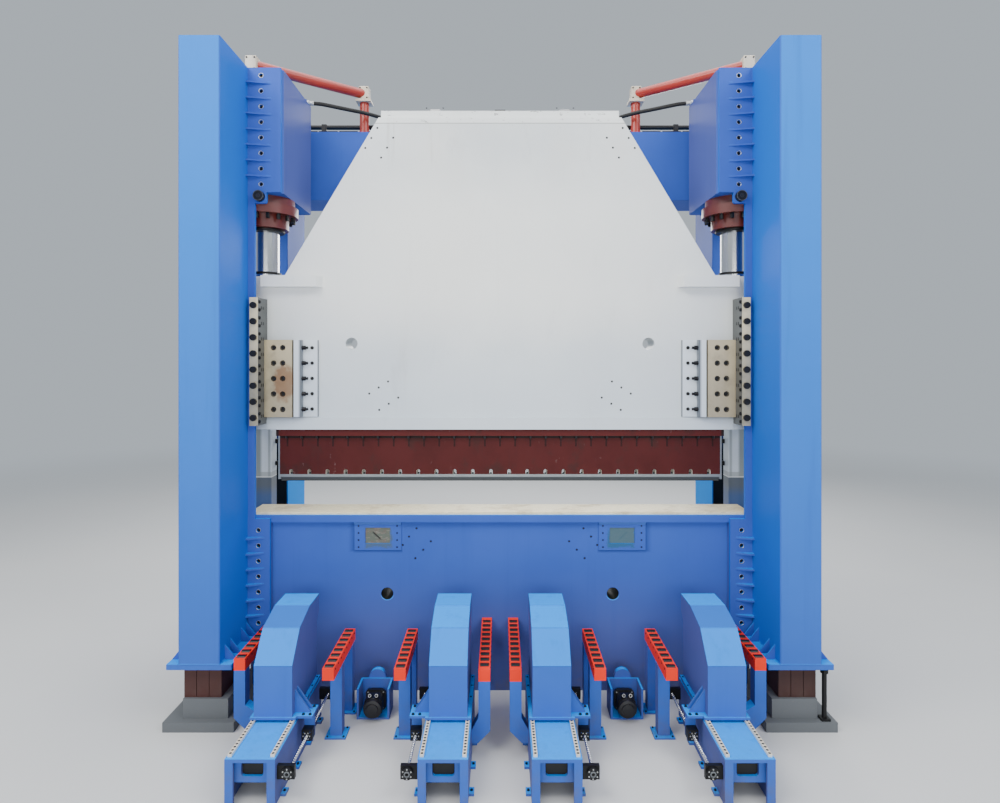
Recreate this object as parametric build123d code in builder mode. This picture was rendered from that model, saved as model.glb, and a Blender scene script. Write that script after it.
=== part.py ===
# Hydraulic press brake of the closed-frame kind, with four sheet followers.
# Millimetres. X runs along the bed, Y away from the operator, Z up from the floor.
# The origin is on the floor, at the middle of the machine's length and depth.
# Depths named _at count back from the front faces of the two front columns.

import os
from math import radians, tan

from build123d import *

os.makedirs("parts", exist_ok=True)

SIDES = (("left", -1), ("right", 1))

# Frame columns
throat_half = 2830
column_width = 420
front_column_depth = 770
rear_column_depth = 760
frame_depth = 2860
column_foot_z = 620
column_top_z = 7030
column_edge = 10
foot_plate = 55
foot_overhang = 120
foot_gusset = 150
foot_gusset_plate = 20
foot_gussets_at = (120, 260, 540, 680)
upper_tie_height = 830
lower_tie_height = 980

# Followers reach this far in front of the columns
follower_reach = 1110

# Bolting flanges of the front columns
flange_plate = 40
upper_flange_width = 370
upper_rib_width = 270
upper_flange_height = 1396
lower_flange_width = 248
lower_rib_width = 190
lower_flange_height = 1292
guide_pad_width = 80
upper_flange_holes = 8
lower_flange_holes = 7
flange_hole = 44
upper_flange_margin = 88
lower_flange_margin = 126
upper_hole_inset = 150
lower_hole_inset = 120
flange_rib = 18
flange_rib_depth = 60
thrust_lug = 150
lug_hole = 74
thrust_screw_head = 120

# Cylinders and their blocks
cylinder_half_pitch = 2770
cylinder_at = 1145
block_inner = 2450
block_outer_gap = 280
block_back_at = 1900
block_edge = 70
barrel_radius = 290
barrel_wall = 65
barrel_rise = 30
cap_thickness = 120
cylinder_flange_radius = 364
cylinder_neck_radius = 325
cylinder_flange = 200
cylinder_flange_disc = 110
gland_spigot = 100
gland_radius = 257
gland_height = 150
gland_bolts = 16
gland_bolt_head = 46
gland_bolt_height = 60
block_clearance = 1
bore_clearance = 0.5
rod_radius = 150
piston_height = 250
piston_down_travel = 86
rod_clearance = 0.5

# Ram
ram_at = 970
ram_thickness = 350
ram_bottom_z = 2947
ram_shoulder_drop = 2310
ram_top_drop = 470
ram_top_half = 1407
ram_slope = 0.594
ram_ear_half = 2950
ram_cap = 86
ram_band = 140
ram_band_proud = 25
seat_bar_height = 130
seat_bar_outer = 2740
seat_bar_inner = 2055
seat_bar_proud = 100
rod_base_radius = 170
rod_base = 30
lift_hole = 140
lift_half_pitch = 1720
lift_z = 3940
small_hole = 25
small_hole_depth = 40
top_hole_rows = (
    ((1421, -122), (70, -116)),
    ((1238, -235), (70, -115)),
)
low_hole_rows = (
    ((1297, 554), (109, -70)),
    ((1179, 367), (110, -71)),
)

# Punch beam
punch_half = 2565
punch_ledge_half = 2595
punch_at = 1015
punch_thickness = 190
punch_ledge = 77
punch_ledge_proud = 45
punch_bottom_z = 2420
punch_notches = 24
punch_notch_end = 132
punch_notch_width = 40
punch_notch_height = 58
clamp_bar = 45
clamp_bar_thickness = 150
punch_bar = 42
punch_bar_thickness = 90
end_plate = 25
end_plate_width = 150
end_plate_height = 330
punch_bolts = 29
punch_bolt_head = 36
punch_bolt_height = 30

# Guides
gib_at_rest_z = 3017
gib_height = 1432
gib_thickness = 55
gib_body_inner = 2695
gib_front_width = 95
gib_bolts = 8
gib_bolt_head = 72
gib_bolt_height = 30
shoe_inner = 2378
shoe_proud = 100
shoe_bottom_z = 3096
shoe_height = 884
shoe_rows = 5
shoe_row_margin = 89
shoe_hole = 50
shoe_hole_depth = 60
shoe_column_pitch = 104
shoe_screw_head = 45
shoe_screw_height = 40
shoe_gap = 0.5
ram_gap = 0.5
keeper_gap = 12
keeper_width = 91
keeper_proud = 78
keeper_plate_width = 175
keeper_plate = 25
adjuster_head = 55
adjuster_height = 40
rear_guide_inner = 2770
rear_guide_outer = 3210
rear_guide_depth = 180
rear_guide_top_z = 4550

# Bed
bed_at = 820
bed_thickness = 380
bed_top_z = 2000
bed_band = 80
bed_band_proud = 50
table_plate = 30
table_depth = 400
bed_hole = 135
bed_hole_half_pitch = 1280
bed_hole_z = 1100
pad_half_pitch = 1385
pad_width = 530
pad_height = 330
pad_top_z = 1925
pad_plate = 12
pad_window_width = 290
pad_window_height = 180

# Oil tank, pump set and pipes
tank_at = 2140
tank_depth = 640
tank_height = 900
tank_drop = 240
tank_lid = 20
suction_pipe = 125
elbow_width = 135
elbow_height = 180
elbow_flange = 200
elbow_flange_thickness = 34
near_elbow_half = 2946
near_elbow_at = 1180
near_elbow_rise = 230
far_elbow_half = 1833
far_elbow_at = 2235
far_elbow_rise = 311
drop_flange = 150
hose = 50
hose_boss = 80
hose_boss_at = 1820
hose_rise = 28
hose_end_at = 2450
hose_end_drop = 58
pressure_line = 62
pressure_lines_at = 2340
pressure_line_rises = (42, 122)
line_clip = 68
line_clips_x = (-2400, -1400, 0, 1400, 2400)
pump_set_depth = 400
pump_motor_radius = 160
pump_motor_length = 620
pump_radius = 95
pump_length = 260
manifold_size = 300
manifold_x = 900

# Footings under the columns
slab_height = 100
slab_overhang = 150
slab_inner_overhang = 150
bearing_plate_inset = 60
bearing_plate_top_z = 300
block_gap = 6
stack_blocks = 3
stack_inset = 20
jack_radius = 24
jack_base = 90

# Sheet followers
follower_x = (-2100, -480, 480, 2100)
screw_sides = (1, -1, 1, -1)
follower_width = 425
follower_base_length = 1415
table_top_z = 400
table_plate_thickness = 30
leg_width = 70
window_width = 190
window_height = 150
window_corner = 30
front_plate_height = 230
rail_width = 35
rail_height = 24
rail_inset = 32
side_plate = 30
front_plate_recess = 60
foot_pad = 90
foot_pad_height = 22
foot_pads_at = (-930, -560, -190, 180)
carriage_gap = 0.5
carriage_flange = 22
housing_width = 355
housing_front_at = -550
housing_bend_z = 920
housing_brow_at = -320
housing_brow_z = 1180
housing_back_at = 10
housing_top_z = 1270
head_back_at = 345
head_underside_z = 1090
carriage_front_at = -560
carriage_back_at = 262
shelf_reach = 360
shelf_front_at = -530
shelf_length = 200
shelf_rib = 22
shelf_rib_height = 230
screw_radius = 14
screw_offset = 305
screw_z = 262
screw_front_at = -1065
screw_back_at = 270
nut_at = -480
nut_length = 90
nut_size = 95
bearing_radius = 58
bearing_length = 40
bearing_plate = 24

# Roller arms beside the followers
arm_width = 111
arm_height = 114
arm_top_z = 825
roller_radius = 36
roller_length = 84
roller_proud = 12
roller_pitch = 115
roller_margin = 52
post_width = 115
post_plate = 16
post_plate_overhang = 45
floor_arm_offset = 470
floor_arm_front_at = -400
floor_arm_length = 920
side_arm_offsets = (450, 332, 332, 450)
side_arm_fronts_at = (-200, -420, -420, -200)
roller_pocket = 6
side_post_foot_z = 130
floor_posts_at = (-40, 420)
side_posts_at = 115

# Drive units on the floor
drive_x = 1325
drive_at = 220
drive_width = 340
drive_height = 316
drive_depth = 250
drive_wall = 20
drive_motor_width = 210
drive_motor_length = 300
guard_radius = 90
guard_thickness = 60

# Places worked out from the sizes above
face_y = (follower_reach - frame_depth) / 2
column_outer = throat_half + column_width
rear_column_at = frame_depth - rear_column_depth
flange_front_at = front_column_depth - flange_plate
upper_flange_z = column_top_z - upper_flange_height
barrel_top_z = column_top_z + barrel_rise
ram_top_z = column_top_z - ram_top_drop
ram_shoulder_z = column_top_z - ram_shoulder_drop
tank_top_z = column_top_z - tank_drop
tank_bottom_z = tank_top_z - tank_height
hose_z = column_top_z + hose_rise
upper_flange_inner = throat_half - upper_flange_width
lower_flange_inner = throat_half - lower_flange_width
block_outer = throat_half + block_outer_gap
ram_back_at = ram_at + ram_thickness
ram_shoulder_half = ram_top_half + ram_slope * (ram_top_z - ram_shoulder_z)
barrel_bore = barrel_radius - barrel_wall
cylinder_flange_z = upper_flange_z - cylinder_flange
piston_z = cylinder_flange_z + gland_spigot + piston_down_travel
punch_ledge_z = ram_bottom_z - punch_ledge
bed_back_at = bed_at + bed_thickness
table_top = bed_top_z + table_plate
lower_tie_top_z = column_foot_z + lower_tie_height
upper_tie_z = column_top_z - upper_tie_height
lid_top_z = tank_top_z + tank_lid
shoe_outer = gib_body_inner - shoe_gap
rail_top_z = table_top_z + rail_height
carriage_z = rail_top_z + carriage_gap
hose_start_x = block_inner + block_edge / 2
hose_end_x = manifold_x + manifold_size / 2


def block(x0, x1, at0, at1, z0, z1, mode=Mode.ADD):
    """Box between two opposite corners, with depths counted from the column faces."""
    with Locations(((x0 + x1) / 2, face_y + (at0 + at1) / 2, (z0 + z1) / 2)):
        Box(abs(x1 - x0), abs(at1 - at0), abs(z1 - z0), mode=mode)


def front_plane(x, at, z):
    """Plane that faces the operator through a point, with its own Y pointing up."""
    return Plane((x, face_y + at, z), x_dir=(1, 0, 0), z_dir=(0, -1, 0))


def side_plane(x):
    """Plane that faces along X, with its own axes along Y and Z."""
    return Plane((x, 0, 0), x_dir=(0, 1, 0), z_dir=(1, 0, 0))


def turned(points, x, at):
    """Solid turned about an upright axis, from a closed outline of (radius, height)."""
    with BuildSketch(front_plane(x, at, 0)) as outline:
        with BuildLine():
            Polyline(*points, close=True)
        make_face()
    revolve(outline.sketch, axis=Axis((x, face_y + at, 0), (0, 0, 1)))


def to_side(sign):
    """Mirror the piece being made to the left side where the sign is negative."""
    if sign < 0:
        mirror(about=Plane.YZ, mode=Mode.REPLACE)


def flange_hole_row(x, at, z0, height, margin, holes, depth):
    """Row of bolt holes up a flange, drilled away from the operator."""
    pitch = (height - 2 * margin) / (holes - 1)
    with BuildSketch(front_plane(x, at, z0 + height / 2)) as hole_row:
        with GridLocations(1, pitch, 1, holes):
            Circle(flange_hole / 2)
    extrude(hole_row.sketch, amount=-depth, mode=Mode.SUBTRACT)


def flange_ribs(inner, z0, height, margin, holes):
    """Three-cornered ribs between the bolt holes, tying the flange to the column."""
    pitch = (height - 2 * margin) / (holes - 1)
    front = face_y + flange_front_at
    for gap in range(holes - 1):
        z = z0 + margin + (gap + 0.5) * pitch
        with BuildSketch(Plane.XY.offset(z - flange_rib / 2)) as rib:
            with BuildLine():
                Polyline((inner, front), (throat_half, front),
                         (throat_half, front - flange_rib_depth), close=True)
            make_face()
        extrude(rib.sketch, amount=flange_rib)


def foot_gusset_at(x, reach, at):
    """Upright three-cornered gusset on the foot plate; reach is its signed length."""
    foot = column_foot_z + foot_plate
    with BuildSketch(front_plane(0, at, 0)) as gusset:
        with BuildLine():
            Polyline((x, foot), (x + reach, foot), (x, foot + foot_gusset), close=True)
        make_face()
    extrude(gusset.sketch, amount=-foot_gusset_plate)


# Front columns with their foot plates, flanges, ribs and lugs
upper_hole_x = throat_half - upper_hole_inset
lower_hole_x = throat_half - lower_hole_inset
lower_flange_z = column_foot_z + foot_plate
lug_x = upper_hole_x + 15
lug_z = upper_flange_z - thrust_lug / 3
for side, sign in SIDES:
    with BuildPart() as front_column:
        block(throat_half, column_outer, 0, front_column_depth, column_foot_z, column_top_z)
        chamfer(front_column.edges().filter_by(Axis.Z), column_edge)
        block(throat_half - foot_overhang, column_outer + foot_overhang, 0, front_column_depth,
              column_foot_z, column_foot_z + foot_plate)
        block(throat_half - guide_pad_width, throat_half, flange_front_at, front_column_depth,
              column_foot_z, column_top_z)
        block(upper_flange_inner, throat_half, flange_front_at, front_column_depth,
              upper_flange_z, column_top_z)
        block(lower_flange_inner, throat_half, flange_front_at, front_column_depth,
              lower_flange_z, lower_flange_z + lower_flange_height)
        with BuildSketch(front_plane(lug_x, flange_front_at, lug_z)):
            RectangleRounded(thrust_lug, thrust_lug, thrust_lug / 6)
        extrude(amount=-flange_plate)
        flange_ribs(throat_half - upper_rib_width, upper_flange_z, upper_flange_height,
                    upper_flange_margin, upper_flange_holes)
        flange_ribs(throat_half - lower_rib_width, lower_flange_z, lower_flange_height,
                    lower_flange_margin, lower_flange_holes)
        for gusset_at in foot_gussets_at:
            foot_gusset_at(throat_half, -foot_overhang, gusset_at)
            foot_gusset_at(column_outer, foot_overhang, gusset_at)
        flange_hole_row(upper_hole_x, flange_front_at, upper_flange_z, upper_flange_height,
                        upper_flange_margin, upper_flange_holes, flange_plate)
        flange_hole_row(lower_hole_x, flange_front_at, lower_flange_z, lower_flange_height,
                        lower_flange_margin, lower_flange_holes, flange_plate)
        with BuildSketch(front_plane(lug_x, flange_front_at, lug_z)):
            Circle(lug_hole / 2)
        extrude(amount=-flange_plate, mode=Mode.SUBTRACT)
        to_side(sign)
    front_column.part.label = f"front_column_{side}"
    export_step(front_column.part, f"parts/front_column_{side}.step")

# Rear columns
for side, sign in SIDES:
    with BuildPart() as rear_column:
        block(throat_half, column_outer, rear_column_at, frame_depth, column_foot_z, column_top_z)
        chamfer(rear_column.edges().filter_by(Axis.Z), column_edge)
        block(throat_half - foot_overhang, column_outer + foot_overhang, rear_column_at,
              frame_depth, column_foot_z, column_foot_z + foot_plate)
        to_side(sign)
    rear_column.part.label = f"rear_column_{side}"
    export_step(rear_column.part, f"parts/rear_column_{side}.step")

# Ties that join front and rear columns above and below the side window
with BuildPart() as side_ties:
    for side, sign in SIDES:
        block(sign * block_outer, sign * column_outer, front_column_depth, rear_column_at,
              upper_tie_z, column_top_z)
        block(sign * throat_half, sign * column_outer, front_column_depth, rear_column_at,
              column_foot_z, lower_tie_top_z)
side_ties.part.label = "side_ties"
export_step(side_ties.part, "parts/side_ties.step")


# Cylinder blocks: bored for the barrels, bolted behind the flanges, with a hose boss on top
for side, sign in SIDES:
    with BuildPart() as cylinder_block:
        block(block_inner, block_outer, front_column_depth, block_back_at,
              upper_flange_z, column_top_z)
        chamfer(cylinder_block.edges().filter_by(Axis.Z).group_by(Axis.X)[0], block_edge / 2)
        with BuildSketch(Plane.XY.offset(upper_flange_z)):
            with Locations((cylinder_half_pitch, face_y + cylinder_at)):
                Circle(barrel_radius + block_clearance)
        extrude(amount=upper_flange_height, mode=Mode.SUBTRACT)
        flange_hole_row(upper_hole_x, front_column_depth, upper_flange_z, upper_flange_height,
                        upper_flange_margin, upper_flange_holes, flange_hole)
        block(hose_start_x, hose_start_x + hose_boss, hose_boss_at - hose_boss / 2,
              hose_boss_at + hose_boss / 2, column_top_z, hose_z + hose_boss / 2)
        to_side(sign)
    cylinder_block.part.label = f"cylinder_block_{side}"
    export_step(cylinder_block.part, f"parts/cylinder_block_{side}.step")

# Cylinder barrels, each turned in one piece with its flange and closed top
for side, sign in SIDES:
    with BuildPart() as cylinder:
        turned(((barrel_bore, cylinder_flange_z), (cylinder_flange_radius, cylinder_flange_z),
                (cylinder_flange_radius, cylinder_flange_z + cylinder_flange_disc),
                (cylinder_neck_radius, cylinder_flange_z + cylinder_flange_disc),
                (cylinder_neck_radius, upper_flange_z), (barrel_radius, upper_flange_z),
                (barrel_radius, barrel_top_z), (0, barrel_top_z),
                (0, barrel_top_z - cap_thickness), (barrel_bore, barrel_top_z - cap_thickness)),
               sign * cylinder_half_pitch, cylinder_at)
    cylinder.part.label = f"cylinder_{side}"
    export_step(cylinder.part, f"parts/cylinder_{side}.step")

# Glands, which guide the rods and close the barrels
gland_z = cylinder_flange_z - gland_height
rod_bore = rod_radius + rod_clearance
with BuildPart() as glands:
    for side, sign in SIDES:
        turned(((rod_bore, gland_z), (gland_radius, gland_z), (gland_radius, cylinder_flange_z),
                (barrel_bore - bore_clearance, cylinder_flange_z),
                (barrel_bore - bore_clearance, cylinder_flange_z + gland_spigot),
                (rod_bore, cylinder_flange_z + gland_spigot)),
               sign * cylinder_half_pitch, cylinder_at)
glands.part.label = "glands"
export_step(glands.part, "parts/glands.step")

# Bolt heads under the cylinder flanges
with BuildPart() as flange_bolts:
    for side, sign in SIDES:
        with BuildSketch(Plane.XY.offset(cylinder_flange_z - gland_bolt_height)):
            with Locations((sign * cylinder_half_pitch, face_y + cylinder_at)):
                with PolarLocations((gland_radius + cylinder_flange_radius) / 2, gland_bolts):
                    RegularPolygon(gland_bolt_head / 2, 6)
        extrude(amount=gland_bolt_height)
flange_bolts.part.label = "flange_bolts"
export_step(flange_bolts.part, "parts/flange_bolts.step")

# Oil tank across the back, with its lid
with BuildPart() as oil_tank:
    block(-throat_half, throat_half, tank_at, tank_at + tank_depth, tank_bottom_z, tank_top_z)
    block(-throat_half + tank_lid, throat_half - tank_lid, tank_at + tank_lid,
          tank_at + tank_depth - tank_lid, tank_top_z, lid_top_z)
oil_tank.part.label = "oil_tank"
export_step(oil_tank.part, "parts/oil_tank.step")

# Elbow blocks of the suction pipes: one on each barrel, one above the tank lid
near_elbow = Vector(near_elbow_half, face_y + near_elbow_at, column_top_z + near_elbow_rise)
far_elbow = Vector(far_elbow_half, face_y + far_elbow_at, column_top_z + far_elbow_rise)
far_elbow_foot = far_elbow - Vector(0, 0, elbow_height / 2 + elbow_flange_thickness)


def elbow_blocks(sign, mode=Mode.ADD):
    """The two elbow blocks of one side."""
    with Locations([(sign * elbow.X, elbow.Y, elbow.Z) for elbow in (near_elbow, far_elbow)]):
        Box(elbow_width, elbow_width, elbow_height, mode=mode)


with BuildPart() as pipe_elbows:
    for side, sign in SIDES:
        elbow_blocks(sign)
    chamfer(pipe_elbows.edges(), elbow_width / 16)
    with BuildSketch(Plane.XY.offset(far_elbow_foot.Z)):
        with Locations((far_elbow.X, far_elbow.Y), (-far_elbow.X, far_elbow.Y)):
            Rectangle(elbow_flange, elbow_flange)
    extrude(amount=elbow_flange_thickness)
pipe_elbows.part.label = "pipe_elbows"
export_step(pipe_elbows.part, "parts/pipe_elbows.step")

# Suction pipes: a short stem on the cylinder, a sloping run between the elbow blocks
# and a drop to the lid
for side, sign in SIDES:
    near = Vector(sign * near_elbow.X, near_elbow.Y, near_elbow.Z)
    far = Vector(sign * far_elbow.X, far_elbow.Y, far_elbow.Z)
    with BuildPart() as suction_pipe_run:
        with BuildSketch(Plane(near, z_dir=far - near)):
            Circle(suction_pipe / 2)
        extrude(amount=(far - near).length)
        elbow_blocks(sign, mode=Mode.SUBTRACT)
        with BuildSketch(Plane.XY.offset(barrel_top_z)):
            with Locations((near.X, near.Y)):
                Circle(suction_pipe / 2)
        extrude(amount=near.Z - elbow_height / 2 - barrel_top_z)
        with BuildSketch(Plane.XY.offset(lid_top_z)):
            with Locations((far.X, far.Y)):
                Circle(drop_flange / 2)
        extrude(amount=drop_flange / 8)
        with BuildSketch(Plane.XY.offset(lid_top_z)):
            with Locations((far.X, far.Y)):
                Circle(suction_pipe / 2)
        extrude(amount=far_elbow_foot.Z - lid_top_z)
    suction_pipe_run.part.label = f"suction_pipe_{side}"
    export_step(suction_pipe_run.part, f"parts/suction_pipe_{side}.step")

# Pump motor, pump and valve manifolds on the tank lid
motor_at = tank_at + pump_set_depth
motor_z = lid_top_z + pump_motor_radius * 1.25
with BuildPart() as pump_motor:
    with BuildSketch(side_plane(-pump_motor_length / 2)):
        with Locations((face_y + motor_at, motor_z)):
            Circle(pump_motor_radius)
    extrude(amount=pump_motor_length)
    block(-pump_motor_length / 3, pump_motor_length / 3, motor_at - pump_motor_radius,
          motor_at + pump_motor_radius, lid_top_z, lid_top_z + tank_lid)
    block(-pump_motor_length / 4, pump_motor_length / 4, motor_at - pump_motor_radius / 2,
          motor_at + pump_motor_radius / 2, lid_top_z, motor_z)
pump_motor.part.label = "pump_motor"
export_step(pump_motor.part, "parts/pump_motor.step")

with BuildPart() as pump:
    with BuildSketch(side_plane(pump_motor_length / 2)):
        with Locations((face_y + motor_at, motor_z)):
            Circle(pump_radius * 1.4)
    extrude(amount=pump_length / 5)
    with BuildSketch(side_plane(pump_motor_length / 2)):
        with Locations((face_y + motor_at, motor_z)):
            Circle(pump_radius)
    extrude(amount=pump_length)
pump.part.label = "pump"
export_step(pump.part, "parts/pump.step")

with BuildPart() as valve_manifolds:
    for side, sign in SIDES:
        middle = sign * manifold_x
        half = manifold_size / 2
        block(middle - half, middle + half, motor_at - half, motor_at + half,
              lid_top_z, lid_top_z + manifold_size)
        block(middle - half / 2, middle + half / 2, motor_at - half / 2, motor_at + half / 2,
              lid_top_z + manifold_size, lid_top_z + manifold_size * 1.4)
    chamfer(valve_manifolds.edges().filter_by(Axis.Z), manifold_size / 30)
valve_manifolds.part.label = "valve_manifolds"
export_step(valve_manifolds.part, "parts/valve_manifolds.step")


# Ram: one welded plate with its cap, lower band, seat bars and holes
with BuildPart() as ram:
    with BuildSketch(front_plane(0, ram_at, 0)):
        with BuildLine():
            Polyline((0, ram_bottom_z), (ram_ear_half, ram_bottom_z),
                     (ram_ear_half, ram_shoulder_z), (ram_shoulder_half, ram_shoulder_z),
                     (ram_top_half, ram_top_z), (0, ram_top_z), close=True)
        make_face()
        mirror(about=Plane.YZ)
    extrude(amount=-ram_thickness)
    block(-ram_top_half + ram_band_proud, ram_top_half - ram_band_proud,
          ram_at + ram_band_proud, ram_back_at - ram_band_proud, ram_top_z, ram_top_z + ram_cap)
    block(-shoe_outer, shoe_outer, ram_at - ram_band_proud, ram_at,
          ram_bottom_z, ram_bottom_z + ram_band)
    for side, sign in SIDES:
        with BuildSketch(Plane.XY.offset(ram_shoulder_z - seat_bar_height)):
            with BuildLine():
                Polyline((sign * seat_bar_outer, face_y + ram_at),
                         (sign * seat_bar_inner, face_y + ram_at),
                         (sign * (seat_bar_inner + seat_bar_proud / 2),
                          face_y + ram_at - seat_bar_proud),
                         (sign * seat_bar_outer, face_y + ram_at - seat_bar_proud), close=True)
            make_face()
        extrude(amount=seat_bar_height)
    with BuildSketch(front_plane(0, ram_at, lift_z)):
        with GridLocations(2 * lift_half_pitch, 1, 2, 1):
            Circle(lift_hole / 2)
    extrude(amount=-ram_thickness, mode=Mode.SUBTRACT)
    with BuildSketch(front_plane(0, ram_at, 0)):
        for rows, level in ((top_hole_rows, ram_top_z), (low_hole_rows, ram_bottom_z)):
            for (x, rise), (step_x, step_z) in rows:
                with Locations([(x + count * step_x, level + rise + count * step_z)
                                for count in range(3)]):
                    Circle(small_hole / 2)
        mirror(about=Plane.YZ)
    extrude(amount=-small_hole_depth, mode=Mode.SUBTRACT)
ram.part.label = "ram"
export_step(ram.part, "parts/ram.step")

# Piston rods, each turned with its foot and piston
for side, sign in SIDES:
    with BuildPart() as piston_rod:
        turned(((0, ram_shoulder_z), (rod_base_radius, ram_shoulder_z),
                (rod_base_radius, ram_shoulder_z + rod_base),
                (rod_radius, ram_shoulder_z + rod_base), (rod_radius, piston_z),
                (barrel_bore - bore_clearance, piston_z),
                (barrel_bore - bore_clearance, piston_z + piston_height),
                (0, piston_z + piston_height)), sign * cylinder_half_pitch, cylinder_at)
    piston_rod.part.label = f"piston_rod_{side}"
    export_step(piston_rod.part, f"parts/piston_rod_{side}.step")

# Punch beam with its bolting ledge and the row of arched notches
punch_middle_at = punch_at + punch_thickness / 2
notch_pitch = 2 * (punch_half - punch_notch_end) / (punch_notches - 1)
with BuildPart() as punch_beam:
    block(-punch_half, punch_half, punch_at, punch_at + punch_thickness,
          punch_bottom_z, punch_ledge_z)
    block(-punch_ledge_half, punch_ledge_half, punch_at - punch_ledge_proud,
          punch_at + punch_thickness + punch_ledge_proud, punch_ledge_z, ram_bottom_z)
    with BuildSketch(front_plane(0, punch_at, punch_bottom_z)):
        with GridLocations(notch_pitch, 1, punch_notches, 1):
            SlotOverall(2 * punch_notch_height, punch_notch_width, rotation=90)
    extrude(amount=-punch_thickness, mode=Mode.SUBTRACT)
punch_beam.part.label = "punch_beam"
export_step(punch_beam.part, "parts/punch_beam.step")

# Bolt heads under the ledge, front and back
with BuildPart() as punch_bolt_row:
    with BuildSketch(Plane.XY.offset(punch_ledge_z - punch_bolt_height)):
        with Locations((0, face_y + punch_middle_at)):
            with GridLocations(2 * punch_half / punch_bolts, punch_thickness + punch_ledge_proud,
                               punch_bolts, 2):
                RegularPolygon(punch_bolt_head / 2, 6)
    extrude(amount=punch_bolt_height)
punch_bolt_row.part.label = "punch_bolts"
export_step(punch_bolt_row.part, "parts/punch_bolts.step")

# Clamping bar and the punch under it, in one stepped length
clamp_bar_z = punch_bottom_z - clamp_bar
with BuildPart() as punch:
    block(-punch_half, punch_half, punch_middle_at - clamp_bar_thickness / 2,
          punch_middle_at + clamp_bar_thickness / 2, clamp_bar_z, punch_bottom_z)
    block(-punch_half, punch_half, punch_middle_at - punch_bar_thickness / 2,
          punch_middle_at + punch_bar_thickness / 2, clamp_bar_z - punch_bar, clamp_bar_z)
    chamfer(punch.faces().sort_by(Axis.Z)[0].edges().filter_by(Axis.X), punch_bar / 4)
punch.part.label = "punch_bar"
export_step(punch.part, "parts/punch_bar.step")

# Plates on the two ends of the punch beam
with BuildPart() as punch_end_plates:
    for side, sign in SIDES:
        block(sign * punch_half, sign * (punch_half + end_plate),
              punch_middle_at - end_plate_width / 2, punch_middle_at + end_plate_width / 2,
              punch_ledge_z - end_plate_height, punch_ledge_z)
punch_end_plates.part.label = "punch_end_plates"
export_step(punch_end_plates.part, "parts/punch_end_plates.step")

# Gibs: each wraps the inner edge of the column's guide pad and bears on the ram
gib_back_at = ram_at - ram_gap
gib_front_at = flange_front_at - gib_thickness
gib_outer = gib_body_inner + gib_front_width
pad_inner = throat_half - guide_pad_width
for side, sign in SIDES:
    with BuildPart() as gib:
        with BuildSketch(Plane.XY.offset(gib_at_rest_z)):
            with BuildLine():
                Polyline((gib_body_inner, face_y + gib_front_at),
                         (gib_outer, face_y + gib_front_at),
                         (gib_outer, face_y + flange_front_at),
                         (pad_inner, face_y + flange_front_at),
                         (pad_inner, face_y + front_column_depth),
                         (ram_ear_half, face_y + front_column_depth),
                         (ram_ear_half, face_y + gib_back_at),
                         (gib_body_inner, face_y + gib_back_at), close=True)
            make_face()
        extrude(amount=gib_height)
        to_side(sign)
    gib.part.label = f"gib_{side}"
    export_step(gib.part, f"parts/gib_{side}.step")

# Cap screws on the front of the gibs, and the large screws through the lugs above them
gib_pitch = gib_height / gib_bolts
with BuildPart() as frame_screws:
    for side, sign in SIDES:
        with BuildSketch(front_plane(sign * lug_x, flange_front_at, lug_z)):
            Circle(thrust_screw_head / 2)
        extrude(amount=thrust_screw_head / 2)
        with BuildSketch(front_plane(sign * lug_x, flange_front_at, lug_z)):
            Circle(lug_hole / 2 - bore_clearance)
        extrude(amount=-flange_plate)
        with BuildSketch(front_plane(sign * (gib_body_inner + gib_outer) / 2, gib_front_at,
                                     gib_at_rest_z + gib_height / 2)):
            with GridLocations(1, gib_pitch, 1, gib_bolts):
                Circle(gib_bolt_head / 2)
        extrude(amount=gib_bolt_height)
frame_screws.part.label = "frame_screws"
export_step(frame_screws.part, "parts/frame_screws.step")

# Rear guides, standing on the lower side ties behind the ram
with BuildPart() as rear_guides:
    for side, sign in SIDES:
        block(sign * rear_guide_inner, sign * rear_guide_outer, ram_back_at + ram_gap,
              ram_back_at + ram_gap + rear_guide_depth, lower_tie_top_z, rear_guide_top_z)
rear_guides.part.label = "rear_guides"
export_step(rear_guides.part, "parts/rear_guides.step")

# Guide shoes on the front of the ram, counterbored for their screws
shoe_front_at = ram_at - shoe_proud
shoe_middle = (shoe_inner + shoe_outer) / 2
shoe_middle_z = shoe_bottom_z + shoe_height / 2
shoe_row_pitch = (shoe_height - 2 * shoe_row_margin) / (shoe_rows - 1)
for side, sign in SIDES:
    with BuildPart() as guide_shoe:
        block(shoe_inner, shoe_outer, shoe_front_at, ram_at,
              shoe_bottom_z, shoe_bottom_z + shoe_height)
        with BuildSketch(front_plane(shoe_middle, shoe_front_at, shoe_middle_z)):
            with GridLocations(shoe_column_pitch, shoe_row_pitch, 2, shoe_rows):
                Circle(shoe_hole / 2)
        extrude(amount=-shoe_hole_depth, mode=Mode.SUBTRACT)
        to_side(sign)
    guide_shoe.part.label = f"guide_shoe_{side}"
    export_step(guide_shoe.part, f"parts/guide_shoe_{side}.step")

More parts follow.
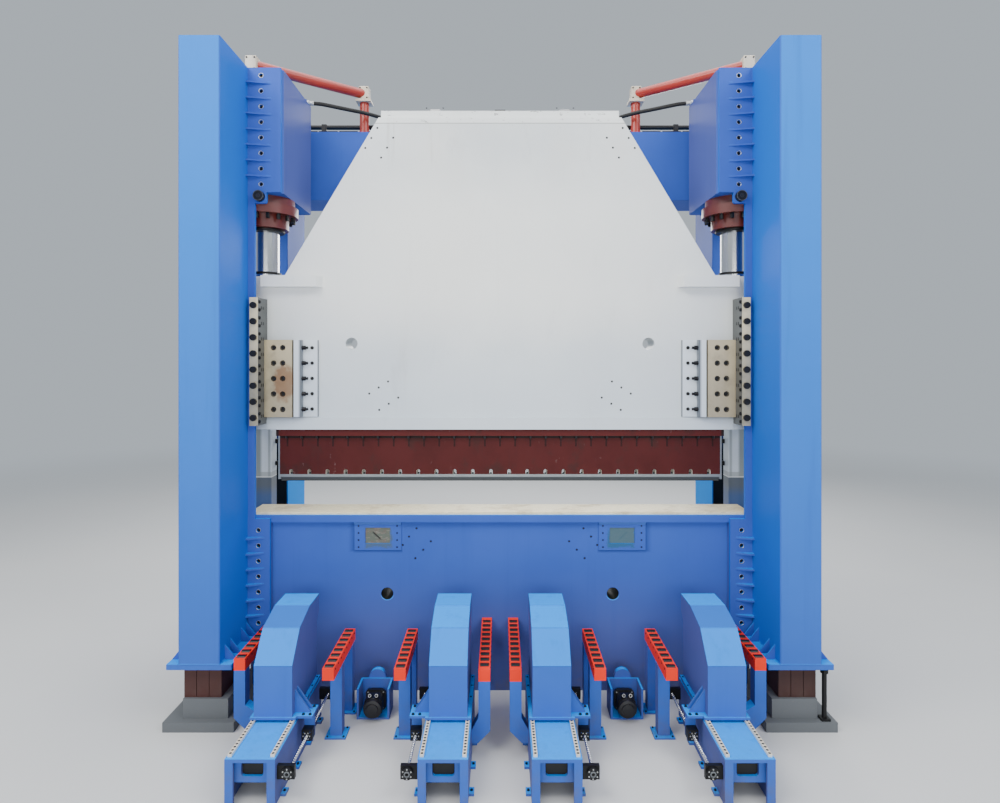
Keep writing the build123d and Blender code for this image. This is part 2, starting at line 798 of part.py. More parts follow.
# Screws that hold the shoes, and the adjusting bolts in the keepers beside them
keeper_outer = shoe_inner - keeper_gap
keeper_inner = keeper_outer - keeper_width
adjuster_at = ram_at - keeper_plate - adjuster_head * 0.6
with BuildPart() as shoe_screws:
    for side, sign in SIDES:
        with BuildSketch(front_plane(sign * shoe_middle, shoe_front_at + shoe_hole_depth,
                                     shoe_middle_z)):
            with GridLocations(shoe_column_pitch, shoe_row_pitch, 2, shoe_rows):
                RegularPolygon(shoe_screw_head / 2, 6)
        extrude(amount=shoe_screw_height)
        with BuildSketch(side_plane(sign * keeper_inner)):
            with Locations((face_y + adjuster_at, shoe_middle_z)):
                with GridLocations(1, shoe_row_pitch, 1, shoe_rows):
                    RegularPolygon(adjuster_head / 2, 6)
        extrude(amount=-sign * adjuster_height)
shoe_screws.part.label = "shoe_screws"
export_step(shoe_screws.part, "parts/shoe_screws.step")

# Keepers that push the shoes out against the gibs
with BuildPart() as shoe_keepers:
    for side, sign in SIDES:
        block(sign * keeper_inner, sign * keeper_outer, ram_at - keeper_proud, ram_at,
              shoe_bottom_z, shoe_bottom_z + shoe_height)
        block(sign * (keeper_inner - keeper_plate_width), sign * keeper_inner,
              ram_at - keeper_plate, ram_at, shoe_bottom_z, shoe_bottom_z + shoe_height)
shoe_keepers.part.label = "shoe_keepers"
export_step(shoe_keepers.part, "parts/shoe_keepers.step")


# Bed: a welded box beam with a proud upper band, end blocks, pads and round holes
pad_middle_z = pad_top_z - pad_height / 2
band_at = bed_at - bed_band_proud
with BuildPart() as bed:
    block(-throat_half, throat_half, bed_at, bed_back_at, 0, bed_top_z)
    block(-throat_half, throat_half, band_at, bed_at, bed_top_z - bed_band, bed_top_z)
    for side, sign in SIDES:
        block(sign * lower_flange_inner, sign * throat_half, band_at, bed_at,
              lower_flange_z, bed_top_z)
        with BuildSketch(front_plane(sign * pad_half_pitch, bed_at, pad_middle_z)):
            Rectangle(pad_width, pad_height)
            Rectangle(pad_window_width, pad_window_height, mode=Mode.SUBTRACT)
        extrude(amount=pad_plate)
        flange_hole_row(sign * lower_hole_x, band_at, lower_flange_z, lower_flange_height,
                        lower_flange_margin, lower_flange_holes, flange_hole)
    with BuildSketch(front_plane(0, bed_at, bed_hole_z)):
        with GridLocations(2 * bed_hole_half_pitch, 1, 2, 1):
            Circle(bed_hole / 2)
    extrude(amount=-bed_thickness, mode=Mode.SUBTRACT)
bed.part.label = "bed"
export_step(bed.part, "parts/bed.step")

# Machined table plate on the bed
table_at = bed_back_at - table_depth
with BuildPart() as table:
    block(-throat_half, throat_half, table_at, bed_back_at, bed_top_z, table_top)
    chamfer(table.faces().sort_by(Axis.Z)[-1].edges().filter_by(Axis.X), table_plate / 8)
table.part.label = "table_plate"
export_step(table.part, "parts/table_plate.step")

# Footings: a slab, a bearing plate and three blocks under each column
COLUMN_SPANS = ((0, front_column_depth), (rear_column_at, frame_depth))
stack_width = (column_width - 2 * stack_inset - (stack_blocks - 1) * block_gap) / stack_blocks
with BuildPart() as foundation_plates:
    for side, sign in SIDES:
        for front, back in COLUMN_SPANS:
            block(sign * (throat_half - slab_inner_overhang), sign * (column_outer + slab_overhang),
                  front - stack_inset, back, 0, slab_height)
            block(sign * (throat_half - bearing_plate_inset),
                  sign * (column_outer - stack_inset), front + bearing_plate_inset,
                  back - bearing_plate_inset, slab_height, bearing_plate_top_z)
foundation_plates.part.label = "foundation_plates"
export_step(foundation_plates.part, "parts/foundation_plates.step")

with BuildPart() as support_blocks:
    for side, sign in SIDES:
        for front, back in COLUMN_SPANS:
            for count in range(stack_blocks):
                inner = throat_half + stack_inset + count * (stack_width + block_gap)
                block(sign * inner, sign * (inner + stack_width),
                      front + 1.5 * bearing_plate_inset, back - 1.5 * bearing_plate_inset,
                      bearing_plate_top_z, column_foot_z)
support_blocks.part.label = "support_blocks"
export_step(support_blocks.part, "parts/support_blocks.step")

# Levelling jack under the outer corner of the right front column
jack_x = column_outer + jack_base / 2
jack_at = jack_base / 2
with BuildPart() as levelling_jack:
    block(jack_x - jack_base / 2, jack_x + jack_base / 2, jack_at - jack_base / 2,
          jack_at + jack_base / 2, slab_height, slab_height + jack_base / 4)
    with BuildSketch(Plane.XY.offset(slab_height)):
        with Locations((jack_x, face_y + jack_at)):
            Circle(jack_radius)
    extrude(amount=column_foot_z - slab_height)
    with BuildSketch(Plane.XY.offset(column_foot_z - jack_base / 2)):
        with Locations((jack_x, face_y + jack_at)):
            RegularPolygon(jack_radius * 1.8, 6)
    extrude(amount=jack_base / 2)
levelling_jack.part.label = "levelling_jack"
export_step(levelling_jack.part, "parts/levelling_jack.step")

# Bases of the sheet followers
base_half = follower_width / 2
base_front_at = -follower_reach
base_back_at = base_front_at + follower_base_length
bearing_reach = screw_offset + bearing_radius
plate_bottom_z = table_top_z - front_plate_height
with BuildPart() as base_form:
    for edge in (-1, 1):
        block(edge * base_half, edge * (base_half - side_plate),
              base_front_at, base_back_at, 0, table_top_z)
        block(edge * base_half, edge * (base_half - leg_width),
              base_front_at, base_front_at + side_plate, 0, table_top_z)
        for pad_at in foot_pads_at:
            block(edge * base_half, edge * (base_half + foot_pad / 2),
                  pad_at - foot_pad / 2, pad_at + foot_pad / 2, 0, foot_pad_height)
    block(-base_half, base_half, base_front_at + front_plate_recess,
          base_front_at + front_plate_recess + side_plate, plate_bottom_z, table_top_z)
    with BuildSketch(front_plane(0, base_front_at + front_plate_recess,
                                 table_top_z - table_plate_thickness)):
        RectangleRounded(window_width, 2 * window_height, window_corner)
    extrude(amount=-side_plate, mode=Mode.SUBTRACT)
    block(-base_half, base_half, base_front_at, base_back_at,
          table_top_z - table_plate_thickness, table_top_z)
    block(-base_half, base_half, base_back_at - side_plate, base_back_at,
          plate_bottom_z, table_top_z)
for number, x in enumerate(follower_x, start=1):
    with BuildPart() as follower_base:
        with Locations((x, 0, 0)):
            add(base_form.part)
    follower_base.part.label = f"follower_base_{number}"
    export_step(follower_base.part, f"parts/follower_base_{number}.step")

# Linear rails along both edges of each table
with BuildPart() as linear_rails:
    for x in follower_x:
        for edge in (-1, 1):
            middle = x + edge * (base_half - rail_inset)
            block(middle - rail_width / 2, middle + rail_width / 2, base_front_at + side_plate,
                  base_back_at, table_top_z, rail_top_z)
linear_rails.part.label = "linear_rails"
export_step(linear_rails.part, "parts/linear_rails.step")

# Bearings of the feed screws: a block and a round cover on the side of each base
screw_bore = screw_radius + rod_clearance
with BuildPart() as screw_bearings:
    for x, turn in zip(follower_x, screw_sides):
        for bearing_at in (screw_front_at, screw_back_at - bearing_length):
            block(x + turn * base_half, x + turn * bearing_reach, bearing_at,
                  bearing_at + bearing_length, screw_z - bearing_radius,
                  screw_z + bearing_radius)
        with BuildSketch(front_plane(x + turn * screw_offset, screw_front_at, screw_z)):
            Circle(bearing_radius * 0.9)
        extrude(amount=bearing_plate)
        with BuildSketch(front_plane(x + turn * screw_offset, base_front_at, screw_z)):
            Circle(screw_bore)
        extrude(amount=-follower_base_length, mode=Mode.SUBTRACT)
screw_bearings.part.label = "screw_bearings"
export_step(screw_bearings.part, "parts/screw_bearings.step")

# Feed screws
for number, (x, turn) in enumerate(zip(follower_x, screw_sides), start=1):
    with BuildPart() as feed_screw:
        with BuildSketch(front_plane(x + turn * screw_offset, screw_front_at, screw_z)):
            Circle(screw_radius)
        extrude(amount=-(screw_back_at - screw_front_at))
    feed_screw.part.label = f"feed_screw_{number}"
    export_step(feed_screw.part, f"parts/feed_screw_{number}.step")

# Carriages: a slanted housing on a flange, with a ribbed shelf that holds the nut
housing_half = housing_width / 2
nut_inner = screw_offset - nut_size / 2
nut_outer = screw_offset + nut_size / 2
with BuildPart() as carriage_form:
    block(-base_half, base_half, carriage_front_at, carriage_back_at,
          carriage_z, carriage_z + carriage_flange)
    with BuildSketch(side_plane(-housing_half)):
        with BuildLine():
            Polyline((face_y + housing_front_at, carriage_z),
                     (face_y + housing_front_at, housing_bend_z),
                     (face_y + housing_brow_at, housing_brow_z),
                     (face_y + housing_back_at, housing_top_z),
                     (face_y + head_back_at, housing_top_z),
                     (face_y + head_back_at, head_underside_z),
                     (face_y + carriage_back_at,
                      head_underside_z - (head_back_at - carriage_back_at)),
                     (face_y + carriage_back_at, carriage_z), close=True)
        make_face()
    extrude(amount=housing_width)
    block(housing_half, shelf_reach, shelf_front_at, shelf_front_at + shelf_length,
          carriage_z, carriage_z + carriage_flange)
    for rib_at in (shelf_front_at + shelf_length / 3, shelf_front_at + 2 * shelf_length / 3):
        with BuildSketch(front_plane(0, rib_at, 0)):
            with BuildLine():
                Polyline((housing_half, carriage_z), (shelf_reach - shelf_rib, carriage_z),
                         (housing_half, carriage_z + shelf_rib_height), close=True)
            make_face()
        extrude(amount=-shelf_rib)
    block(nut_inner, nut_outer, nut_at - nut_length / 2, nut_at + nut_length / 2,
          screw_z - nut_size / 2, screw_z + nut_size / 2)
    block(nut_inner, nut_outer, nut_at + nut_length / 2, nut_at + nut_length / 2 + shelf_rib,
          screw_z - nut_size / 2, carriage_z)
    with BuildSketch(front_plane(screw_offset, base_front_at, screw_z)):
        Circle(screw_bore)
    extrude(amount=-follower_base_length, mode=Mode.SUBTRACT)
for number, (x, turn) in enumerate(zip(follower_x, screw_sides), start=1):
    with BuildPart() as carriage:
        add(carriage_form.part)
        to_side(turn)
    carriage.part.position = (x, 0, 0)
    carriage.part.label = f"carriage_{number}"
    export_step(carriage.part, f"parts/carriage_{number}.step")

# Roller arms: one stands on two floor posts, the other spans from a post to the bed,
# or to the bolting flange at the two outer followers
side_arm_backs_at = (flange_front_at, bed_at, bed_at, flange_front_at)


def arm_places():
    """Middle X, front and back of each roller arm, as one list."""
    places = []
    for x, turn, offset, front, back in zip(follower_x, screw_sides, side_arm_offsets,
                                            side_arm_fronts_at, side_arm_backs_at):
        places.append((x + turn * floor_arm_offset, floor_arm_front_at,
                       floor_arm_front_at + floor_arm_length))
        places.append((x - turn * offset, front, back))
    return places


def roller_places(front, back):
    """Depths of the rollers along an arm from front to back."""
    steps = int((back - front - 2 * roller_margin) // roller_pitch)
    first = (front + back - steps * roller_pitch) / 2
    return [first + step * roller_pitch for step in range(steps + 1)]


arm_bottom_z = arm_top_z - arm_height
roller_z = arm_top_z + roller_proud - roller_radius
pocket_z = roller_z - roller_radius - roller_pocket / 2
with BuildPart() as roller_arms:
    for middle, front, back in arm_places():
        block(middle - arm_width / 2, middle + arm_width / 2, front, back,
              arm_bottom_z, arm_top_z)
        with BuildSketch(Plane.XY.offset(arm_top_z)):
            with Locations([(middle, face_y + at) for at in roller_places(front, back)]):
                Rectangle(roller_length + 2 * rod_clearance, 2 * roller_radius + roller_pocket)
        extrude(amount=pocket_z - arm_top_z, mode=Mode.SUBTRACT)
roller_arms.part.label = "roller_arms"
export_step(roller_arms.part, "parts/roller_arms.step")

with BuildPart() as arm_rollers:
    for middle, front, back in arm_places():
        with BuildSketch(side_plane(middle - roller_length / 2)):
            with Locations([(face_y + at, roller_z) for at in roller_places(front, back)]):
                RegularPolygon(roller_radius, 12)
        extrude(amount=roller_length)
arm_rollers.part.label = "arm_rollers"
export_step(arm_rollers.part, "parts/arm_rollers.step")

# Posts under the roller arms
with BuildPart() as arm_posts:
    for x, turn, offset, front in zip(follower_x, screw_sides, side_arm_offsets,
                                      side_arm_fronts_at):
        floor_x = x + turn * floor_arm_offset
        for post_at in floor_posts_at:
            block(floor_x - post_width / 2, floor_x + post_width / 2, post_at - post_width / 2,
                  post_at + post_width / 2, 0, arm_bottom_z)
            reach = post_width / 2 + post_plate_overhang
            block(floor_x - reach, floor_x + reach, post_at - reach, post_at + reach,
                  0, post_plate)
        near_edge = x - turn * base_half
        far_edge = x - turn * (offset + arm_width / 2)
        with BuildSketch(front_plane(0, front, 0)):
            with BuildLine():
                Polyline((near_edge, side_post_foot_z),
                         (far_edge + turn * side_posts_at, side_post_foot_z),
                         (far_edge, side_post_foot_z + side_posts_at),
                         (far_edge, arm_bottom_z),
                         (far_edge + turn * arm_width, arm_bottom_z),
                         (far_edge + turn * arm_width, table_top_z - table_plate_thickness),
                         (near_edge, table_top_z - table_plate_thickness - side_posts_at),
                         close=True)
            make_face()
        extrude(amount=-post_width)
arm_posts.part.label = "arm_posts"
export_step(arm_posts.part, "parts/arm_posts.step")

# Drive units on the floor: an open-fronted bracket, a servo motor and a gear guard
drive_back_at = drive_at + drive_depth
with BuildPart() as drive_brackets:
    for side, sign in SIDES:
        x = sign * drive_x
        block(x - drive_width / 2, x + drive_width / 2, drive_at, drive_back_at, 0, drive_wall)
        block(x - drive_width / 2, x + drive_width / 2, drive_back_at - drive_wall,
              drive_back_at, 0, drive_height)
        for edge in (-1, 1):
            block(x + edge * drive_width / 2, x + edge * (drive_width / 2 - drive_wall),
                  drive_at, drive_back_at, 0, drive_height)
        with BuildSketch(front_plane(x, drive_back_at, 0)):
            with Locations((0, drive_height)):
                Circle(guard_radius)
            with Locations((0, drive_height / 2)):
                Rectangle(2 * guard_radius, drive_height)
        extrude(amount=-guard_thickness)
drive_brackets.part.label = "drive_brackets"
export_step(drive_brackets.part, "parts/drive_brackets.step")

drive_z = drive_wall + drive_motor_width / 2
motor_front_at = drive_back_at - drive_wall - drive_motor_length
with BuildPart() as drive_motors:
    for side, sign in SIDES:
        with BuildSketch(front_plane(sign * drive_x, motor_front_at, drive_z)):
            RectangleRounded(drive_motor_width, drive_motor_width, drive_motor_width / 8)
        extrude(amount=-drive_motor_length)
drive_motors.part.label = "drive_motors"
export_step(drive_motors.part, "parts/drive_motors.step")

# Pressure lines along the front of the tank lid, in their clips
with BuildPart() as pressure_lines:
    for rise in pressure_line_rises:
        with BuildSketch(side_plane(-throat_half)):
            with Locations((face_y + pressure_lines_at, lid_top_z + rise)):
                Circle(pressure_line / 2)
        extrude(amount=2 * throat_half)
    for clip_x in line_clips_x:
        block(clip_x - line_clip / 2, clip_x + line_clip / 2, pressure_lines_at - line_clip / 2,
              pressure_lines_at + line_clip / 2, lid_top_z,
              lid_top_z + pressure_line_rises[-1] + line_clip / 2)
pressure_lines.part.label = "pressure_lines"
export_step(pressure_lines.part, "parts/pressure_lines.step")

# Hoses from the cylinder blocks to the manifolds, sagging behind the ram
hose_route = (
    (hose_start_x, hose_boss_at, hose_z),
    (2350, hose_boss_at, hose_z),
    (2190, 1850, hose_z - 22),
    (2000, 1940, hose_z - 32),
    (1800, 2060, hose_z - 30),
    (1620, 2180, hose_z - 42),
    (1400, 2340, hose_z - 56),
    (1210, hose_end_at, hose_z - hose_end_drop),
    (hose_end_x, hose_end_at, hose_z - hose_end_drop),
)
for side, sign in SIDES:
    points = [Vector(sign * x, face_y + at, z) for x, at, z in hose_route]
    runs = [after - before for before, after in zip(points, points[1:])]
    radii = []
    for run, following in zip(runs, runs[1:]):
        half_turn = radians(run.get_angle(following)) / 2
        radii.append(0.45 * min(run.length, following.length) / tan(half_turn))
    with BuildPart() as hose_tube:
        with BuildLine():
            hose_path = FilletPolyline(*points, radius=radii)
        with BuildSketch(Plane(points[0], z_dir=runs[0])):
            Circle(hose / 2)
        sweep(path=hose_path)
    print(f"hose_{side}: length {hose_path.length:.0f}, radii",
          ", ".join(f"{radius:.0f}" for radius in radii))
    hose_tube.part.label = f"hose_{side}"
    export_step(hose_tube.part, f"parts/hose_{side}.step")
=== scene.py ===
"""Looks of the hydraulic press brake: finishes, small fittings, light and camera.

Lengths are metres in the machine's own frame: X along the bed, Y away from the
operator, Z up from the floor, origin on the floor in the middle.
"""

from __future__ import annotations

import logging
import math
from dataclasses import dataclass
from enum import Enum
from typing import Sequence, Union

import bmesh
import bpy
from mathutils import Matrix, Vector


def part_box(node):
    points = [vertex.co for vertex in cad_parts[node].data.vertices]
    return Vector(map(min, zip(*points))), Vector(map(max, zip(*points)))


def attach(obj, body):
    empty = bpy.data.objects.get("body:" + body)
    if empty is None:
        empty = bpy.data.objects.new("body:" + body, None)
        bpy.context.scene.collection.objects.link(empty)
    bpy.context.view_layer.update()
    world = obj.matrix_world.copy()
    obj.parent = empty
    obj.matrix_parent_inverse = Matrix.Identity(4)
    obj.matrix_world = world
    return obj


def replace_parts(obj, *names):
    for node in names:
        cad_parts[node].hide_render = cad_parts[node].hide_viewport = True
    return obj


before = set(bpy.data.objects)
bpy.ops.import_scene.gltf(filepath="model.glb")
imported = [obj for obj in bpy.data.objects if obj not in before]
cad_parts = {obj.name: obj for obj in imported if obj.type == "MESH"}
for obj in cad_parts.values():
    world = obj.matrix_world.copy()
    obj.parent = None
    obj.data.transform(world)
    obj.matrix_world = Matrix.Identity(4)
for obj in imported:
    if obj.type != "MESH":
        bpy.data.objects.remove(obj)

LOG = logging.getLogger("press_brake")
Point = tuple[float, float, float]
Colour = tuple[float, float, float]
SIDES: tuple[tuple[str, int], ...] = (("left", -1), ("right", 1))
FOLLOWERS: tuple[int, ...] = (1, 2, 3, 4)


def rgb(red: int, green: int, blue: int) -> Colour:
    """Linear colour from the usual 0 to 255 screen values."""
    def linear(level: int) -> float:
        """Linear share of one screen level."""
        share = level / 255
        return share / 12.92 if share <= 0.04045 else ((share + 0.055) / 1.055) ** 2.4
    return linear(red), linear(green), linear(blue)


# Shader maths


class Value:
    """A shader socket on which Python's operators add Math nodes."""

    def __init__(self, shader: "Shader", socket: bpy.types.NodeSocket) -> None:
        """Wrap one output socket.

        Args:
            shader: the material being written.
            socket: the output that this value stands for.
        """
        self.shader = shader
        self.socket = socket

    def _math(self, operation: str, first: "Number", second: "Number") -> "Value":
        """One Math node of two inputs."""
        return self.shader.make("ShaderNodeMath", {"operation": operation}, {0: first, 1: second})

    def __add__(self, other: "Number") -> "Value":
        """Sum."""
        return self._math("ADD", self, other)

    def __radd__(self, other: "Number") -> "Value":
        """Sum, reflected."""
        return self._math("ADD", other, self)

    def __sub__(self, other: "Number") -> "Value":
        """Difference."""
        return self._math("SUBTRACT", self, other)

    def __rsub__(self, other: "Number") -> "Value":
        """Difference, reflected."""
        return self._math("SUBTRACT", other, self)

    def __mul__(self, other: "Number") -> "Value":
        """Product."""
        return self._math("MULTIPLY", self, other)

    def __rmul__(self, other: "Number") -> "Value":
        """Product, reflected."""
        return self._math("MULTIPLY", other, self)

    def __truediv__(self, other: "Number") -> "Value":
        """Quotient."""
        return self._math("DIVIDE", self, other)

    def __abs__(self) -> "Value":
        """Size without sign."""
        return self._math("ABSOLUTE", self, 0.0)

    def larger(self, other: "Number") -> "Value":
        """The larger of two values."""
        return self._math("MAXIMUM", self, other)

    def smaller(self, other: "Number") -> "Value":
        """The smaller of two values."""
        return self._math("MINIMUM", self, other)

    def between(self, low: float, high: float) -> "Value":
        """Rise smoothly from 0 at low to 1 at high, or fall where low is the larger."""
        return self.shader.make(
            "ShaderNodeMapRange", {"interpolation_type": "SMOOTHSTEP"},
            {"Value": self, "From Min": low, "From Max": high})


Number = Union[float, Value]


class Shader:
    """One material under construction, with a Principled shader at its end."""

    def __init__(self, name: str) -> None:
        """Start an empty material of that name."""
        self.material = bpy.data.materials.new(name)
        self.material.use_nodes = True
        self.tree = self.material.node_tree
        self.surface = self.tree.nodes["Principled BSDF"]
        self._place: dict[str, Value] = {}

    def make(self, kind: str, settings: dict[str, object],
             inputs: dict[Union[str, int], object], output: Union[str, int] = 0) -> Value:
        """Add one node.

        Args:
            kind: Blender's name of the node type.
            settings: properties of the node, set before its sockets.
            inputs: a value, number or tuple for each socket, by name or place.
            output: the output socket to hand back.

        Returns:
            The chosen output as a value.
        """
        node = self.tree.nodes.new(kind)
        for key, setting in settings.items():
            setattr(node, key, setting)
        for key, given in inputs.items():
            self.join(given, node.inputs[key])
        return Value(self, node.outputs[output])

    def join(self, given: object, socket: bpy.types.NodeSocket) -> None:
        """Link a value to a socket, or set the socket to a plain number or tuple."""
        if isinstance(given, Value):
            self.tree.links.new(given.socket, socket)
        else:
            if isinstance(given, tuple) and len(given) == 3 and socket.type == "RGBA":
                given = (*given, 1.0)
            socket.default_value = given

    def place(self) -> Value:
        """Object coordinates, which on this machine are metres in its own frame."""
        if "place" not in self._place:
            self._place["place"] = self.make("ShaderNodeTexCoord", {}, {}, "Object")
        return self._place["place"]

    def along(self, axis: str) -> Value:
        """One coordinate of the surface point, as X, Y or Z."""
        if axis not in self._place:
            self._place[axis] = self.make("ShaderNodeSeparateXYZ", {}, {0: self.place()}, axis)
        return self._place[axis]

    def facing(self, axis: str) -> Value:
        """Share of the surface's own normal along X, Y or Z."""
        key = "facing " + axis
        if key not in self._place:
            normal = self.make("ShaderNodeTexCoord", {}, {}, "Normal")
            self._place[key] = self.make("ShaderNodeSeparateXYZ", {}, {0: normal}, axis)
        return self._place[key]

    def noise(self, scale: float, detail: float = 3.0, rough: float = 0.55,
              stretch: Point = (1.0, 1.0, 1.0), shift: float = 0.0) -> Value:
        """Cloudy noise from 0 to 1.

        Args:
            scale: spots to the metre.
            detail: octaves.
            rough: share of the finer octaves.
            stretch: how the pattern is squeezed along X, Y and Z.
            shift: offset that gives another pattern.

        Returns:
            The noise value.
        """
        mapped = self.make("ShaderNodeMapping", {}, {
            "Vector": self.place(), "Location": (shift, shift * 0.7, shift * 1.3), "Scale": stretch})
        return self.make("ShaderNodeTexNoise", {}, {
            "Vector": mapped, "Scale": scale, "Detail": detail, "Roughness": rough}, 0)

    def mix(self, share: Number, first: object, second: object) -> Value:
        """Colour between first, where share is 0, and second, where it is 1."""
        return self.make("ShaderNodeMix", {"data_type": "RGBA"}, {0: share, 6: first, 7: second}, 2)

    def bump(self, height: Value, distance: float, strength: float = 1.0) -> Value:
        """Normal tilted by a height map whose full height is distance metres."""
        return self.make("ShaderNodeBump", {}, {
            "Height": height, "Distance": distance, "Strength": strength})

    def finish(self, **sockets: object) -> bpy.types.Material:
        """Set the Principled shader's sockets, written with _ for a space, and hand back the material."""
        for key, given in sockets.items():
            self.join(given, self.surface.inputs[key.replace("_", " ")])
        return self.material


# Finishes


@dataclass(frozen=True)
class Enamel:
    """Sprayed machine paint on welded plate.

    Attributes:
        colour: the paint.
        shade: the paint where it lies thin or has dulled.
        rough: roughness of the clean paint.
        coat: weight of the glossy top layer.
        peel: height of the orange peel in metres.
        wave: height of the slow waves of the plate in metres.
        dirt: share of floor dirt near the ground.
        stain: share of greasy marks all over.
        streak: share of vertical runs.
        lit_tone: painted light: a brighter, greener tone on top faces and, at about half share, on the foremost front
            faces such as the columns' fronts, standing in for the hall's light from above and its reflection.
        fronts: depth of the foremost faces that get this painted light.
        dusk: painted shade: a darker, greyer tone on faces turned along the bed and low at the back, where little light
            comes.
        gloss: how strongly the bare paint mirrors.
    """

    colour: Colour
    shade: Colour
    rough: float = 0.26
    coat: float = 0.45
    peel: float = 0.0004
    wave: float = 0.004
    dirt: float = 0.5
    stain: float = 0.25
    streak: float = 0.2
    lit_tone: Colour | None = None
    fronts: float = -0.86
    dusk: Colour | None = None
    gloss: float = 0.5

    def tint(self, shader: Shader, colour: Value) -> Value:
        """Colour with the marks, painted light and painted shade that one piece alone carries, of which plain enamel
        has none.
        """
        return colour

    def material(self, name: str) -> bpy.types.Material:
        """Build the paint.

        Args:
            name: name of the material.

        Returns:
            The finished material.
        """
        shader = Shader(name)
        cloud = shader.noise(0.9, 4.0, 0.6)
        colour = shader.mix(cloud.between(0.3, 0.75), self.colour, self.shade)
        # Painted light: top faces and the foremost front faces take the brighter lit tone in place of the light from
        # above and its reflection.
        if self.lit_tone:
            up = shader.facing("Z").between(0.25, 0.9)
            front = (shader.facing("Y").between(-0.6, -0.95) * shader.along("Z").between(-1.8, 6.2)
                     * shader.along("Y").between(self.fronts + 0.02, self.fronts))
            lit_mask = up.larger(front * 0.56)
            colour = shader.mix(lit_mask, colour, self.lit_tone)
        # Painted shade: the dusk tone on faces turned along the bed and on low faces at the back.
        if self.dusk:
            side = abs(shader.facing("X")).between(0.6, 0.95) * abs(shader.along("X")).between(2.75, 2.70)
            back = (shader.along("Y").between(-0.5, -0.2) * shader.along("Z").between(1.5, 0.4)
                    * shader.facing("Z").between(0.5, 0.1))
            colour = shader.mix(side.larger(back), colour, self.dusk)
        runs = shader.noise(7.0, 3.0, 0.6, (1.0, 1.0, 0.05), 3.0).between(0.52, 0.8) * self.streak
        colour = shader.mix(runs, colour, tuple(0.72 * part for part in self.shade))
        spots = shader.noise(26.0, 5.0, 0.7, (1.0, 1.0, 1.0), 8.0).between(0.63, 0.78)
        patches = shader.noise(1.7, 3.0, 0.5, (1.0, 1.0, 1.0), 5.0).between(0.5, 0.72)
        marks = spots * patches * self.stain
        colour = shader.mix(marks, colour, rgb(58, 54, 50))
        low = shader.along("Z").between(0.55, 0.0)
        dust = low * shader.noise(5.0, 5.0, 0.65, (1.0, 1.0, 1.0), 2.0).between(0.35, 0.75) * self.dirt
        colour = self.tint(shader, shader.mix(dust, colour, rgb(104, 96, 86)))
        fine = shader.noise(90.0, 2.0, 0.5)
        slow = shader.noise(1.1, 2.0, 0.5, (1.0, 1.0, 1.0), 4.0)
        waves = shader.bump(slow, self.wave)
        normal = shader.make("ShaderNodeBump", {}, {
            "Height": fine, "Distance": self.peel, "Strength": 0.6, "Normal": waves})
        rough = self.rough + 0.1 * cloud + 0.3 * marks + 0.35 * dust
        return shader.finish(Base_Color=colour, Roughness=rough, Coat_Weight=self.coat * (1.0 - dust),
                             Coat_Roughness=0.08, Specular_IOR_Level=self.gloss, Normal=normal)


@dataclass(frozen=True)
class BedPaint(Enamel):
    """The bed's enamel, with painted shadow round the pads, painted shade in the lifting holes and a painted highlight
    on their lower rims.

    Attributes:
        pad: distance from the middle, half width, lower edge and upper edge of the pads.
        hole: distance from the middle, height and radius of the lifting holes.
    """

    pad: tuple[float, float, float, float] = (1.385, 0.265, 1.595, 1.925)
    hole: Point = (1.28, 1.10, 0.0675)

    def tint(self, shader: Shader, colour: Value) -> Value:
        """Add the painted shadow round the pads, the scraped patch by the windows, and the painted shade and highlight
        of the holes.
        """
        away, height, depth = abs(shader.along("X")), shader.along("Z"), shader.along("Y")
        middle, half, low, high = self.pad
        sheet = depth.between(-0.0605, -0.0595) * depth.between(-0.050, -0.053)
        # Painted shadow: a dark band beside each pad's outer edge and under its lower edge.
        outer = (away - (middle + half)).between(0.085, 0.0)
        under = (low - height).between(0.048, 0.0)
        inner = (abs(away - middle) - half).between(0.020, 0.0)
        beside = outer.smaller(height.between(low - 0.03, low)) * (away - (middle + half)).between(-0.002, 0.002)
        below = under.smaller(inner) * height.between(low + 0.001, low - 0.001)
        painted_shadow = beside.larger(below) * sheet * height.between(high, high - 0.004)
        colour = shader.mix(painted_shadow * 0.5, colour, tuple(0.35 * part for part in self.colour))
        ragged = 0.10 * shader.noise(20.0, 4.0, 0.7, (1.0, 1.0, 1.0), 7.0) - 0.05
        smear = ((abs(away - 1.371) - 0.150).larger(abs(height - 1.723) - 0.098) + ragged).between(0.016, -0.020)
        left = shader.along("X").between(0.05, -0.05)
        scraped = shader.mix(left, (0.030, 0.115, 0.19), (0.075, 0.115, 0.14))
        colour = shader.mix(smear * depth.between(-0.064, -0.066) * 0.8, colour, scraped)
        side, level, radius = self.hole
        across, up = away - side, height - level
        reach = (across * across + up * up)
        # Painted highlight: a brighter blue crescent on the lower rim of each lifting hole.
        lip = reach.between((radius + 0.013) ** 2, (radius + 0.010) ** 2) * sheet
        colour = shader.mix(lip * up.between(0.0, -0.06), colour, (0.05, 0.26, 0.78))
        # Painted shade inside the bores of the lifting holes.
        bore = reach.between((radius + 0.0020) ** 2, (radius + 0.0008) ** 2)
        return shader.mix(bore, colour, (0.016, 0.018, 0.014))


